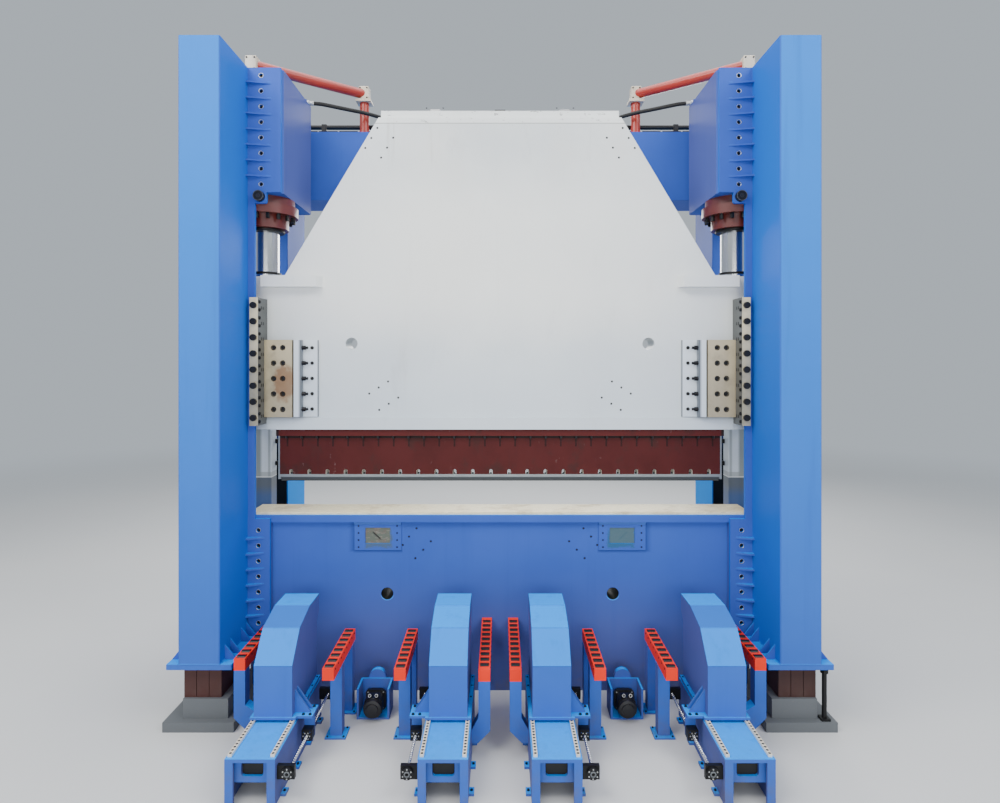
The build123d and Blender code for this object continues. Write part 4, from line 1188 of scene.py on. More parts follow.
@dataclass
class FrameFittings(Assembly):
    """Bare rims and bolt ends in the columns' bolting flanges, and the sockets of the big screws."""

    materials: Materials
    repeater: Repeater
    title: str = "frame"
    hole: float = 0.022
    upper_rows: tuple[float, float, int] = (5.722, 6.942, 8)
    lower_rows: tuple[float, float, int] = (0.801, 1.841, 7)
    flange_front: float = -0.145
    thrust: Point = (2.695, -0.205, 5.584)

    def build(self) -> None:
        """Fit the rims and bolts on both sides."""
        across, depth, height = self.thrust
        # Painted shade: dark hexagonal mouths in the big screws' sockets.
        self.repeat("thrust_sockets", hex_recess(0.026, 0.002),
                    [Spot((sign * across, depth, height)) for _, sign in SIDES], Finish.MOTOR)
        self.repeat("thrust_rims", hole_rim(0.0535, 0.0585, 0.002),
                    [Spot((sign * across, depth, height)) for _, sign in SIDES], Finish.IRON)
        for side, sign in SIDES:
            spots = []
            for (low, high, count), across in ((self.upper_rows, 2.68), (self.lower_rows, 2.71)):
                spots += [Spot((sign * across, self.flange_front, z)) for z in steps(low, high, count)]
            self.repeat(f"flange_rims_{side}", hole_rim(self.hole, self.hole + 0.006, 0.0025), spots,
                        Finish.STEEL)
            ends = [Spot((spot.at[0], self.flange_front + 0.038, spot.at[2])) for spot in spots]
            self.repeat(f"flange_bolt_ends_{side}", socket_screw(self.hole - 0.002, 0.016), ends,
                        Finish.BLACK, spin=1.0, seed=7)


def solids_in(node: str) -> list[tuple[Vector, Vector]]:
    """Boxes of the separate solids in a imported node.

    Args:
        node: name of the node.

    Returns:
        Lowest and highest corner of each solid, from left to right and front to back.
    """
    work = bmesh.new()
    work.from_mesh(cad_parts[node].data)
    bmesh.ops.remove_doubles(work, verts=work.verts, dist=1e-5)
    seen: set[bmesh.types.BMVert] = set()
    boxes = []
    for start in work.verts:
        if start in seen:
            continue
        seen.add(start)
        heap, low, high = [start], start.co.copy(), start.co.copy()
        while heap:
            vert = heap.pop()
            low = Vector(map(min, low, vert.co))
            high = Vector(map(max, high, vert.co))
            for edge in vert.link_edges:
                other = edge.other_vert(vert)
                if other not in seen:
                    seen.add(other)
                    heap.append(other)
        boxes.append((low, high))
    work.free()
    return sorted(boxes, key=lambda box: (round(box[0].x, 3), round(box[0].y, 3)))


class ScrewThread:
    """Geometry Nodes tree of a two-start feed screw that lies along Y."""

    def __init__(self) -> None:
        """Build the tree."""
        tree = NodeTree("Feed screw thread", (
            ("Core", "NodeSocketFloat", 0.012), ("Ridge", "NodeSocketFloat", 0.0017),
            ("Length", "NodeSocketFloat", 1.0), ("Turns", "NodeSocketFloat", 50.0),
            ("Start", "NodeSocketVector", (0.0, 0.0, 0.0)), ("Material", "NodeSocketMaterial", None)))
        given = tree.given.outputs
        half = tree.add("ShaderNodeMath", {"operation": "MULTIPLY"}, {0: given["Length"], 1: 0.5})
        helix = tree.add("GeometryNodeCurveSpiral", {}, {
            "Resolution": 18, "Rotations": given["Turns"], "Start Radius": given["Core"],
            "End Radius": given["Core"], "Height": given["Length"]})
        section = tree.add("GeometryNodeCurvePrimitiveCircle", {}, {"Resolution": 5, "Radius": given["Ridge"]})
        ridge = tree.add("GeometryNodeCurveToMesh", {}, {
            "Curve": helix, "Profile Curve": section, "Fill Caps": True})
        second = tree.add("GeometryNodeTransform", {}, {"Geometry": ridge, "Rotation": (0.0, 0.0, math.pi)})
        core = tree.add("GeometryNodeMeshCylinder", {}, {
            "Vertices": 24, "Radius": given["Core"], "Depth": given["Length"]}, "Mesh")
        middle = tree.add("ShaderNodeCombineXYZ", {}, {"Z": half})
        raised = tree.add("GeometryNodeTransform", {}, {"Geometry": core, "Translation": middle})
        joined = tree.tree.nodes.new("GeometryNodeJoinGeometry")
        for part in (raised, second, ridge):
            tree.tree.links.new(part, joined.inputs[0])
        laid = tree.add("GeometryNodeTransform", {}, {
            "Geometry": joined.outputs[0], "Rotation": (-math.pi / 2, 0.0, 0.0),
            "Translation": given["Start"]})
        tree.end(laid)
        self.tree = tree

    def mesh(self, name: str, start: Point, length: float, turns: float,
             material: bpy.types.Material) -> bpy.types.Mesh:
        """Plain mesh of one threaded length.

        Args:
            name: name of the mesh.
            start: front end of the thread, on the axis.
            length: threaded length.
            turns: turns of each start.
            material: its material.

        Returns:
            The mesh.
        """
        host = bpy.data.objects.new(name + "_host", bpy.data.meshes.new(name + "_host"))
        bpy.context.scene.collection.objects.link(host)
        made = evaluated(host, self.tree, {
            "Length": length, "Turns": turns, "Start": start, "Material": material})
        bpy.data.objects.remove(host)
        made.shade_smooth()
        made.set_sharp_from_angle(angle=math.radians(40))
        return made


@dataclass
class FollowerFittings(Assembly):
    """Screws, threads, nuts and bearing details of the four sheet followers.

    Attributes:
        places: distance of each follower from the middle.
        turns: side of each follower that its feed screw is on.
        screw_offset: distance of the feed screw from the follower's middle.
        screw_height: height of the feed screw's axis.
        lead: travel of the nut for one turn of the screw.
        nut: width and height of the nut block.
        nut_front: depth of the nut block's front.
        nut_length: length of the nut block.
        shelf_top: height of the shelf over the nut.
        rail_pitch: distance between the screws in a rail.
        window: depth and lower edge of the dark plate behind each base's front window, a painted shade over the base's
            inside.
    """

    materials: Materials
    repeater: Repeater
    title: str = "followers"
    places: tuple[float, ...] = (-2.1, -0.48, 0.48, 2.1)
    turns: tuple[int, ...] = (1, -1, 1, -1)
    screw_offset: float = 0.305
    screw_height: float = 0.262
    lead: float = 0.020
    nut: float = 0.097
    nut_front: float = -1.401
    nut_length: float = 0.092
    shelf_top: float = 0.4465
    rail_pitch: float = 0.045
    window: tuple[float, float] = (-1.894, 0.212)

    def build(self) -> None:
        """Fit out each follower, then the rails and bearings."""
        thread = ScrewThread()
        for number, x, turn in zip(FOLLOWERS, self.places, self.turns):
            self.screw(number, x + turn * self.screw_offset, thread)
            self.nut_block(number, x, turn)
        self.rails()
        self.bearings()
        self.table_edges()

    def screw(self, number: int, x: float, thread: ScrewThread) -> None:
        """Replace one plain feed screw by a threaded one with turned ends."""
        low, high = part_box(f"feed_screw_{number}")
        front, back = low.y + 0.042, high.y - 0.045
        mesh = thread.mesh(f"threaded_screw_{number}", (x, front, self.screw_height), back - front,
                           (back - front) / self.lead, self.materials.get(Finish.CHROME))
        piece = self.place(f"threaded_screw_{number}", mesh, Finish.CHROME, f"feed_screw_{number}")
        form = Form()
        height = self.screw_height
        form.drum((x, low.y, height), (0, 1, 0), 0.0122, 0.043, 24, 0.0015)
        form.drum((x, back, height), (0, 1, 0), 0.0122, high.y - back, 24, 0.0015)
        ends = self.form(f"screw_ends_{number}", form, Finish.CHROME, f"feed_screw_{number}")
        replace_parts(piece, f"feed_screw_{number}")
        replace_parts(ends, f"feed_screw_{number}")

    def nut_block(self, number: int, x: float, turn: int) -> None:
        """Dark nut with its flange round the screw, and the shelf's bolts."""
        axis = x + turn * self.screw_offset
        half, height = self.nut / 2, self.screw_height
        body = f"carriage_{number}"
        form = Form()
        for low, high in (((-half, half - 0.016), (half, half)), ((-half, -half), (half, -half + 0.016)),
                          ((-half, -half + 0.016), (-half + 0.016, half - 0.016)),
                          ((half - 0.016, -half + 0.016), (half, half - 0.016))):
            form.block((axis + low[0], self.nut_front, height + low[1]),
                       (axis + high[0], self.nut_front + self.nut_length, height + high[1]), 0.001)
        form.ring((axis, self.nut_front + 0.002, height), (0, -1, 0), 0.0158, 0.040, 0.010, 32, 0.001)
        self.form(f"nut_case_{number}", form, Finish.BLACK, body)
        holes = [Spot((axis + 0.030 * math.cos(k * math.pi / 3), self.nut_front - 0.008,
                       height + 0.030 * math.sin(k * math.pi / 3))) for k in range(6)]
        self.repeat(f"nut_screws_{number}", socket_screw(0.0060, 0.004), holes, Finish.STEEL, body, 1.0, 2)
        shelf = [Spot((x + turn * across, depth, self.shelf_top), (0, 0, 1))
                 for across in (0.268, 0.330) for depth in (-1.377, -1.237)]
        self.repeat(f"shelf_bolts_{number}", hex_bolt(0.013, 0.012), shelf, Finish.BLACK, body, 1.0, 4)
        flange = [Spot((x + turn * side * 0.195, depth, self.shelf_top), (0, 0, 1))
                  for side in (-1, 1) for depth in (-1.06, -0.84, -0.66)]
        self.repeat(f"flange_bolts_{number}", socket_screw(0.008, 0.007), flange, Finish.BLACK, body, 1.0, 6)

    def rails(self) -> None:
        """Dark discs that paint the shade of the screw holes along every rail."""
        spots = []
        for low, high in solids_in("linear_rails"):
            count = int((high.y - low.y - 0.04) / self.rail_pitch) + 1
            spots += [Spot(((low.x + high.x) / 2, low.y + 0.02 + k * self.rail_pitch, high.z), (0, 0, 1))
                      for k in range(count)]
        self.repeat("rail_plugs", dark_disc(0.0122, 0.0003), spots, Finish.BLACK)

    def bearings(self) -> None:
        """Ring of screws and a lock nut on each front bearing."""
        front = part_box("screw_bearings")[0].y
        spots, nuts = [], Form()
        for x, turn in zip(self.places, self.turns):
            axis = x + turn * self.screw_offset
            spots += [Spot((axis + 0.040 * math.cos(k * math.pi / 3 + 0.5), front,
                            self.screw_height + 0.040 * math.sin(k * math.pi / 3 + 0.5))) for k in range(6)]
            nuts.ring((axis, front + 0.001, self.screw_height), (0, -1, 0), 0.016, 0.027, 0.009, 8, 0.002)
        self.repeat("bearing_screws", socket_screw(0.006, 0.005), spots, Finish.STEEL, spin=1.0, seed=8)
        self.form("bearing_lock_nuts", nuts, Finish.IRON)

    def table_edges(self) -> None:
        """Anchor bolts through the foot pads of the bases and the posts' plates."""
        spots = []
        for x in self.places:
            spots += [Spot((x + side * 0.235, depth, 0.022), (0, 0, 1))
                      for side in (-1, 1) for depth in (-1.805, -1.435, -1.065, -0.695)]
        self.repeat("base_anchor_bolts", hex_bolt(0.011, 0.013), spots, Finish.BLACK, spin=1.0, seed=9)
        # Painted shade: a dark plate behind each base's front window hides the lit inside.
        plates = Form()
        for x in self.places:
            plates.block((x - 0.105, self.window[0], self.window[1]), (x + 0.105, self.window[0] + 0.004, 0.369))
        self.form("window_plates", plates, Finish.HOSE)
        posts = []
        for low, high in solids_in("arm_posts"):
            if low.z < 0.001:
                posts += [Spot((x, y, 0.016), (0, 0, 1)) for x in (low.x + 0.022, high.x - 0.022)
                          for y in (low.y + 0.022, high.y - 0.022)]
        self.repeat("post_anchor_bolts", hex_bolt(0.009, 0.012), posts, Finish.BLACK, spin=1.0, seed=10)


@dataclass
class ArmFittings(Assembly):
    """Axle ends of the rollers on both sides of each arm."""

    materials: Materials
    repeater: Repeater
    title: str = "arms"
    arm_half: float = 0.0555
    axle: float = 0.0085
    proud: float = 0.0025

    def build(self) -> None:
        """Set an axle end at each roller."""
        spots = []
        for low, high in solids_in("arm_rollers"):
            middle = (low + high) / 2
            spots += [Spot((middle.x + side * self.arm_half, middle.y, middle.z - 0.004), (side, 0, 0))
                      for side in (-1, 1)]
        self.repeat("roller_axles", dark_disc(self.axle, self.proud), spots, Finish.BLACK)


@dataclass
class DriveUnits(Assembly):
    """The two servo motors on the floor, in place of their plain solids."""

    materials: Materials
    repeater: Repeater
    title: str = "drives"

    def build(self) -> None:
        """Build each motor inside its solid's box."""
        body, bright, plugs = Form(), Form(), Form()
        screws = []
        for low, high in solids_in("drive_motors"):
            middle = (low + high) / 2
            half = (high.x - low.x) / 2
            rim = half * 0.93
            corners = self.case(middle.x, middle.z, half * 0.86, half * 0.30)
            body.prism([(x, low.y + 0.075, z) for x, z in corners], (0, 0.150, 0))
            wide = self.case(middle.x, middle.z, half, half * 0.22)
            body.prism([(x, high.y - 0.075, z) for x, z in wide], (0, 0.030, 0))
            body.prism([(x, high.y - 0.045, z) for x, z in corners], (0, 0.045, 0))
            body.lathe((middle.x, low.y + 0.085, middle.z), (0, -1, 0), [
                (0.0, 0.0), (rim, 0.0), (rim, 0.050), (rim * 0.94, 0.062), (rim * 0.66, 0.068),
                (rim * 0.62, 0.080), (rim * 0.20, 0.0845), (0.0, 0.0845)], 40)
            for level in (0.012, 0.022, 0.032):
                body.ring((middle.x, low.y + 0.085 - level, middle.z), (0, -1, 0), rim * 0.9, rim * 1.03,
                          0.004, 40, 0.001)
            bright.ring((middle.x, low.y + 0.0105, middle.z), (0, -1, 0), rim * 0.26, rim * 0.31, 0.002, 28)
            for offset, depth in ((-0.034, 0.118), (0.036, 0.118)):
                foot = (middle.x + offset, low.y + depth, middle.z + half * 0.84)
                plugs.drum(foot, (0, 0, 1), 0.019, 0.030, 24, 0.002)
                plugs.drum((foot[0], foot[1], foot[2] + 0.024), (0, -1, 0.25), 0.0155, 0.052, 24, 0.002)
                bright.ring((foot[0], foot[1] - 0.046, foot[2] + 0.0355), (0, -1, 0.25), 0.0125, 0.0175,
                            0.008, 24, 0.001)
            screws += [Spot((middle.x + sx * half * 0.78, high.y - 0.0755, middle.z + sz * half * 0.78))
                       for sx in (-1, 1) for sz in (-1, 1)]
        for name, form, finish in (("servo_motors", body, Finish.MOTOR), ("motor_trims", bright, Finish.STEEL),
                                   ("motor_plugs", plugs, Finish.BLACK)):
            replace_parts(self.form(name, form, finish), "drive_motors")
        self.repeat("motor_screws", socket_screw(0.007, 0.006), screws, Finish.STEEL, spin=1.0, seed=11)

    def case(self, x: float, z: float, half: float, corner: float) -> list[tuple[float, float]]:
        """Square outline with cut corners round a motor's axis."""
        cut = half - corner
        return [(x - cut, z - half), (x + cut, z - half), (x + half, z - cut), (x + half, z + cut),
                (x + cut, z + half), (x - cut, z + half), (x - half, z + cut), (x - half, z - cut)]


@dataclass
class BedFittings(Assembly):
    """Bare windows, shoulders in a lighter enamel that paints light, and dark discs that paint the shade of the bolt
    holes and small tapped holes on the bed's front.
    """

    materials: Materials
    repeater: Repeater
    title: str = "bed"
    face: float = -0.067
    bed_face: float = -0.055
    pad: float = 1.385
    pad_low: float = 1.595
    pad_high: float = 1.925
    window_wide: float = 0.286
    window_high: float = 0.176
    beside: tuple[tuple[float, float], ...] = (
        (0.948, 1.839), (1.033, 1.745), (0.785, 1.692), (1.104, 1.650), (0.872, 1.596), (0.961, 1.500))
    band: tuple[float, float] = (-0.105, 1.925)

    def build(self) -> None:
        """Fit both pads."""
        plates, shoulders = Form(), Form()
        holes, small = [], []
        middle = (self.pad_low + self.pad_high) / 2
        front, top = self.band
        for _, sign in SIDES:
            x = sign * self.pad
            plates.block((x - self.window_wide / 2, self.bed_face - 0.0016, middle - self.window_high / 2),
                         (x + self.window_wide / 2, self.bed_face + 0.001, middle + self.window_high / 2))
            shoulders.prism([(x - 0.265, front, top), (x - 0.265, self.face, top),
                             (x - 0.265, self.face, top - 0.042)], (0.530, 0.0, 0.0))
            holes += [Spot((x + side * 0.2185, self.face, z)) for side in (-1, 1)
                      for z in steps(self.pad_low + 0.034, self.pad_high - 0.056, 4)]
            small += [Spot((sign * across, self.bed_face, height)) for across, height in self.beside]
        self.form("pad_windows", plates, Finish.STEEL).data.materials[0] = \
            RustyWindow().material("pad_window_steel")
        # Painted light: the shoulders' enamel is lighter than the bed's so that their downward faces do not look
        # shaded.
        self.form("pad_shoulders", shoulders, Finish.BLUE).data.materials[0] = \
            Enamel((0.085, 0.20, 0.62), (0.075, 0.18, 0.56), 0.5, 0.0, gloss=0.03).material("shoulder_lit_paint")
        # Painted shade: dark discs for the bolt holes and small tapped holes.
        self.repeat("pad_bolt_holes", dark_disc(0.0105, 0.0006), holes, Finish.BLACK)
        self.repeat("bed_tapped_holes", dark_disc(0.0125, 0.0006), small, Finish.BLACK)


@dataclass
class HydraulicFittings(Assembly):
    """Hose ends, rod seals, pump motor fins and the lids' screws."""

    materials: Materials
    repeater: Repeater
    title: str = "hydraulics"
    hose: float = 0.050
    start: Point = (2.485, 0.945, 7.058)
    end: Point = (1.050, 1.575, 7.000)

    def build(self) -> None:
        """Fit the small pieces on both sides and on the tank."""
        self.hose_ends()
        self.rod_rings()
        self.pump_fins()
        self.screws()

    def hose_ends(self) -> None:
        """Crimped sleeve and nut at each end of each hose."""
        form = Form()
        for _, sign in SIDES:
            for (x, y, z), inward in ((self.start, -sign), (self.end, sign)):
                base = (sign * x, y, z)
                form.drum(base, (inward, 0, 0), self.hose * 0.78, 0.026, 6, 0.002)
                form.lathe((base[0] + inward * 0.026, y, z), (inward, 0, 0), [
                    (0.0, 0.0), (0.028, 0.0), (0.028, 0.008), (0.026, 0.011), (0.028, 0.014),
                    (0.028, 0.030), (0.026, 0.033), (0.028, 0.036), (0.028, 0.058), (0.025, 0.064),
                    (0.0, 0.064)], 28)
        self.form("hose_ends", form, Finish.STEEL)

    def rod_rings(self) -> None:
        """Black wiper under each gland and steel ring at each rod's foot."""
        wipers, rings = Form(), Form()
        for side, _ in SIDES:
            low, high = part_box("piston_rod_" + side)
            x, y = (low.x + high.x) / 2, (low.y + high.y) / 2
            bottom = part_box("glands")[0].z
            wipers.ring((x, y, bottom), (0, 0, -1), 0.1515, 0.212, 0.034, 48, 0.006)
            rings.ring((x, y, low.z + 0.030), (0, 0, 1), 0.1502, 0.170, 0.030, 48, 0.004)
        self.form("rod_wipers", wipers, Finish.BLACK)
        self.form("rod_foot_rings", rings, Finish.BLACK, "ram")

    def pump_fins(self) -> None:
        """Cooling fins round the pump motor, its fan cover and terminal box."""
        low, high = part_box("pump_motor")
        radius = (high.y - low.y) / 2
        y, z = (low.y + high.y) / 2, high.z - radius
        fin = Form().block((-0.20, -0.0018, 0.0), (0.20, 0.0018, 0.016), 0.0008)
        angles = [2 * math.pi * k / 44 for k in range(44) if math.sin(2 * math.pi * k / 44) > -0.75]
        spots = [Spot((0.0, y + (radius - 0.002) * math.cos(angle), z + (radius - 0.002) * math.sin(angle)),
                      (0.0, math.cos(angle), math.sin(angle))) for angle in angles]
        self.repeat("pump_motor_fins", fin, spots, Finish.MOTOR)
        box = Form().block((-0.075, y - 0.060, high.z - 0.004), (0.075, y + 0.060, high.z + 0.062), 0.006)
        box.ring((low.x + 0.001, y, z), (-1, 0, 0), radius * 0.40, radius * 1.02, 0.010, 48, 0.003)
        self.form("pump_motor_box", box, Finish.MOTOR)

    def screws(self) -> None:
        """Screws round the tank lid and on the elbow and manifold blocks."""
        low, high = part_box("oil_tank")
        spots = [Spot((x, y, high.z), (0, 0, 1)) for x in steps(low.x + 0.12, high.x - 0.12, 21)
                 for y in (low.y + 0.025, high.y - 0.025)]
        self.repeat("lid_screws", hex_bolt(0.011, 0.011), spots, Finish.STEEL, spin=1.0, seed=12)
        faces = []
        for low, high in solids_in("pipe_elbows"):
            middle = (low + high) / 2
            faces += [Spot((middle.x + sx * 0.046, middle.y - 0.0675, high.z - 0.090 + sz * 0.066))
                      for sx in (-1, 1) for sz in (-1, 1)]
        self.repeat("elbow_screws", socket_screw(0.010, 0.008), faces, Finish.BLACK, spin=1.0, seed=13)
        blocks = []
        for low, high in solids_in("valve_manifolds"):
            blocks += [Spot((x, y, high.z), (0, 0, 1)) for x in (low.x + 0.035, high.x - 0.035)
                       for y in (low.y + 0.035, high.y - 0.035)]
        self.repeat("manifold_screws", socket_screw(0.011, 0.006), blocks, Finish.BLACK, spin=1.0, seed=14)


class WeldBead:
    """Geometry Nodes tree that lays a rippled bead along the edges of a mesh."""

    def __init__(self) -> None:
        """Build the tree."""
        tree = NodeTree("Weld bead", (
            ("Radius", "NodeSocketFloat", 0.005), ("Step", "NodeSocketFloat", 0.012),
            ("Ripple", "NodeSocketFloat", 0.35), ("Seed", "NodeSocketInt", 1),
            ("Material", "NodeSocketMaterial", None)))
        given = tree.given.outputs
        line = tree.add("GeometryNodeMeshToCurve", {}, {"Mesh": given["Geometry"]})
        fine = tree.add("GeometryNodeResampleCurve", {"mode": "LENGTH"}, {0: line, 3: given["Step"]})
        least = tree.add("ShaderNodeMath", {"operation": "SUBTRACT"}, {0: 1.0, 1: given["Ripple"]})
        swell = tree.add("FunctionNodeRandomValue", {"data_type": "FLOAT"},
                         {2: least, 3: 1.0, "Seed": given["Seed"]}, 1)
        section = tree.add("GeometryNodeCurvePrimitiveCircle", {}, {"Resolution": 6, "Radius": given["Radius"]})
        bead = tree.add("GeometryNodeCurveToMesh", {}, {
            "Curve": fine, "Profile Curve": section, "Scale": swell, "Fill Caps": True})
        tree.end(bead)
        self.tree = tree

    def mesh(self, name: str, seams: Sequence[Sequence[Point]], radius: float, seed: int,
             material: bpy.types.Material) -> bpy.types.Mesh:
        """Plain mesh of the beads.

        Args:
            name: name of the mesh.
            seams: the corners of each seam.
            radius: radius of the bead.
            seed: seed of the ripple.
            material: its paint.

        Returns:
            The mesh.
        """
        corners, edges = [], []
        for seam in seams:
            first = len(corners)
            corners += list(seam)
            edges += [(first + k, first + k + 1) for k in range(len(seam) - 1)]
        lines = bpy.data.meshes.new(name + "_seams")
        lines.from_pydata(corners, edges, [])
        host = bpy.data.objects.new(name + "_host", lines)
        bpy.context.scene.collection.objects.link(host)
        made = evaluated(host, self.tree, {"Radius": radius, "Seed": seed, "Material": material})
        bpy.data.objects.remove(host)
        made.shade_smooth()
        return made


@dataclass
class Welds(Assembly):
    """Painted weld beads on the columns and the followers."""

    materials: Materials
    repeater: Repeater
    title: str = "welds"
    wall: float = 2.830
    outer: float = 3.250
    front: float = -0.875
    flange: float = -0.145
    rib: float = 0.018

    def build(self) -> None:
        """Lay the beads."""
        bead = WeldBead()
        paint = self.materials.get(Finish.BLUE)
        for side, sign in SIDES:
            mesh = bead.mesh(f"column_welds_{side}", self.column(sign), 0.0055, 20 + sign, paint)
            self.place(f"column_welds_{side}", mesh, Finish.BLUE)
        for number, x in zip(FOLLOWERS, (-2.1, -0.48, 0.48, 2.1)):
            mesh = bead.mesh(f"housing_welds_{number}", self.housing(x), 0.004, 30 + number, paint)
            self.place(f"housing_welds_{number}", mesh, Finish.BLUE, f"carriage_{number}")

    def column(self, sign: int) -> list[list[Point]]:
        """Seams of one front column."""
        wall, outer, flange = sign * self.wall, sign * self.outer, self.flange
        seams = [[(wall, flange, 5.640), (wall, flange, 7.020)], [(wall, flange, 0.690), (wall, flange, 1.960)],
                 [(wall, flange, 0.690), (wall, self.front, 0.677), (outer, self.front, 0.677),
                  (outer, -0.110, 0.677)]]
        for inner, low, high, count in ((2.56, 5.722, 6.942, 8), (2.64, 0.801, 1.841, 7)):
            rows = steps(low, high, count)
            for below, above in zip(rows, rows[1:]):
                for edge in (-1, 1):
                    z = (below + above) / 2 + edge * self.rib / 2
                    seams.append([(sign * (inner + 0.01), flange, z), (wall, flange, z),
                                  (wall, flange - 0.058, z)])
        return seams

    def housing(self, x: float) -> list[list[Point]]:
        """Seams of one follower's housing."""
        half, foot = 0.1775, 0.4465
        front, bend, brow = (-1.425, foot), (-1.425, 0.92), (-1.195, 1.18)
        seams = [[(x - half, -0.62, foot), (x - half, front[0], foot), (x + half, front[0], foot),
                  (x + half, -0.62, foot)]]
        for y, z in (bend, brow, (-0.865, 1.27)):
            seams.append([(x - half, y, z), (x + half, y, z)])
        return seams


@dataclass(frozen=True)
class RustyWindow:
    """Bare, lightly rusted metal in the pads' windows, with paint smeared over its edges."""

    steel: Colour = (0.105, 0.125, 0.10)
    rust: Colour = (0.135, 0.105, 0.088)
    paint: Colour = (0.010, 0.12, 0.40)

    def material(self, name: str) -> bpy.types.Material:
        """Build the material."""
        shader = Shader(name)
        grain = shader.noise(60.0, 4.0, 0.7, (0.3, 1.0, 1.0))
        blotch = shader.noise(16.0, 4.0, 0.65, (1.0, 1.0, 1.0), 3.0)
        colour = shader.mix(blotch.between(0.42, 0.66), self.steel, self.rust)
        colour = shader.mix(grain.between(0.5, 0.7) * 0.6, colour, (0.30, 0.27, 0.22))
        across, up = abs(shader.along("X")) - 1.445, shader.along("Z") - 1.800
        beside = abs(0.673 * across - 0.739 * up).between(0.013, 0.004)
        along = -0.739 * across - 0.673 * up
        colour = shader.mix(beside * along.between(-0.01, 0.02) * along.between(0.15, 0.10), colour,
                            (0.015, 0.017, 0.014))
        edge_x = abs(abs(shader.along("X")) - 1.385).between(0.115, 0.17)
        edge_z = abs(shader.along("Z") - 1.76).between(0.068, 0.12)
        smear = (edge_x.larger(edge_z) + shader.noise(22.0, 3.0, 0.6, (1.0, 1.0, 1.0), 7.0) - 0.5).between(0.3, 0.6)
        right = shader.along("X").between(-0.05, 0.05)
        colour = shader.mix(smear, shader.mix(right * 0.85, colour, (0.055, 0.125, 0.165)), self.paint)
        return shader.finish(Base_Color=colour, Metallic=0.35 * (1.0 - smear), Roughness=0.5,
                             Normal=shader.bump(grain, 0.0006))


@dataclass(frozen=True)
class GuideSteel:
    """Machined guide steel, tanned by oil, with one brown stain, a painted reflection on the front faces and painted
    shade on the others.

    Attributes:
        colour: the steel where the painted reflection of the light is fullest, high on the front faces.
        shade: painted shade: the steel lower down and on the inner faces.
        stain_at: distance from the middle and height of the stain.
        stain_size: half width and half height of the stain.
        stain: share of the stain.
        rise: heights between which the painted reflection on the front faces grows from dull to bright.
    """

    colour: Colour = (0.56, 0.50, 0.38)
    shade: Colour = (0.26, 0.25, 0.22)
    stain_at: tuple[float, float] = (-2.475, 3.49)
    stain_size: tuple[float, float] = (0.120, 0.215)
    stain: float = 0.0
    rise: tuple[float, float] = (3.2, 4.3)

    def material(self, name: str) -> bpy.types.Material:
        """Build the material."""
        shader = Shader(name)
        lines = shader.noise(18.0, 4.0, 0.7, (30.0, 30.0, 1.0))
        cloud = shader.noise(4.0, 4.0, 0.6, (1.0, 1.0, 1.0), 6.0)
        # Painted light: a reflection on the front faces that grows upwards; the other faces take the painted shade
        # tone.
        front = shader.facing("Y").between(-0.5, -0.95)
        lit = front * (shader.along("Z").between(*self.rise) * 0.55 + 0.45)
        colour = shader.mix(lit, self.shade, self.colour)
        colour = shader.mix(cloud.between(0.45, 0.8) * 0.45, colour, tuple(0.6 * part for part in self.shade))
        if self.stain:
            across = (shader.along("X") - self.stain_at[0]) / self.stain_size[0]
            up = (shader.along("Z") - self.stain_at[1]) / self.stain_size[1]
            reach = across * across + up * up + 1.9 * shader.noise(11.0, 4.0, 0.65, (1.0, 1.0, 1.0), 1.0) - 0.95
            spot = reach.between(1.35, 0.55) * self.stain
            colour = shader.mix(spot * (0.55 + 0.45 * cloud), colour, (0.23, 0.110, 0.045))
        return shader.finish(Base_Color=colour, Metallic=0.35, Roughness=0.42 + 0.12 * lines,
                             Normal=shader.bump(lines, 0.0003))


@dataclass(frozen=True)
class PunchSteel:
    """Planed clamping bar, pale above and dark below its lower step."""

    colour: Colour = (0.27, 0.30, 0.31)
    shade: Colour = (0.030, 0.036, 0.042)
    step: float = 2.386

    def material(self, name: str) -> bpy.types.Material:
        """Build the material."""
        shader = Shader(name)
        lines = shader.noise(16.0, 4.0, 0.7, (1.0, 24.0, 24.0))
        spots = shader.noise(26.0, 4.0, 0.7, (1.0, 1.0, 1.0), 5.0).between(0.58, 0.78)
        tone = shader.mix(lines.between(0.35, 0.65), tuple(0.84 * part for part in self.colour), self.colour)
        colour = shader.mix(spots * 0.5, tone, (0.20, 0.15, 0.10))
        low = shader.along("Z").between(self.step + 0.002, self.step - 0.002)
        colour = shader.mix(low * 0.92, colour, self.shade)
        return shader.finish(Base_Color=colour, Metallic=0.6 - 0.3 * low, Roughness=0.36 + 0.1 * lines + 0.1 * low,
                             Normal=shader.bump(lines, 0.0003))


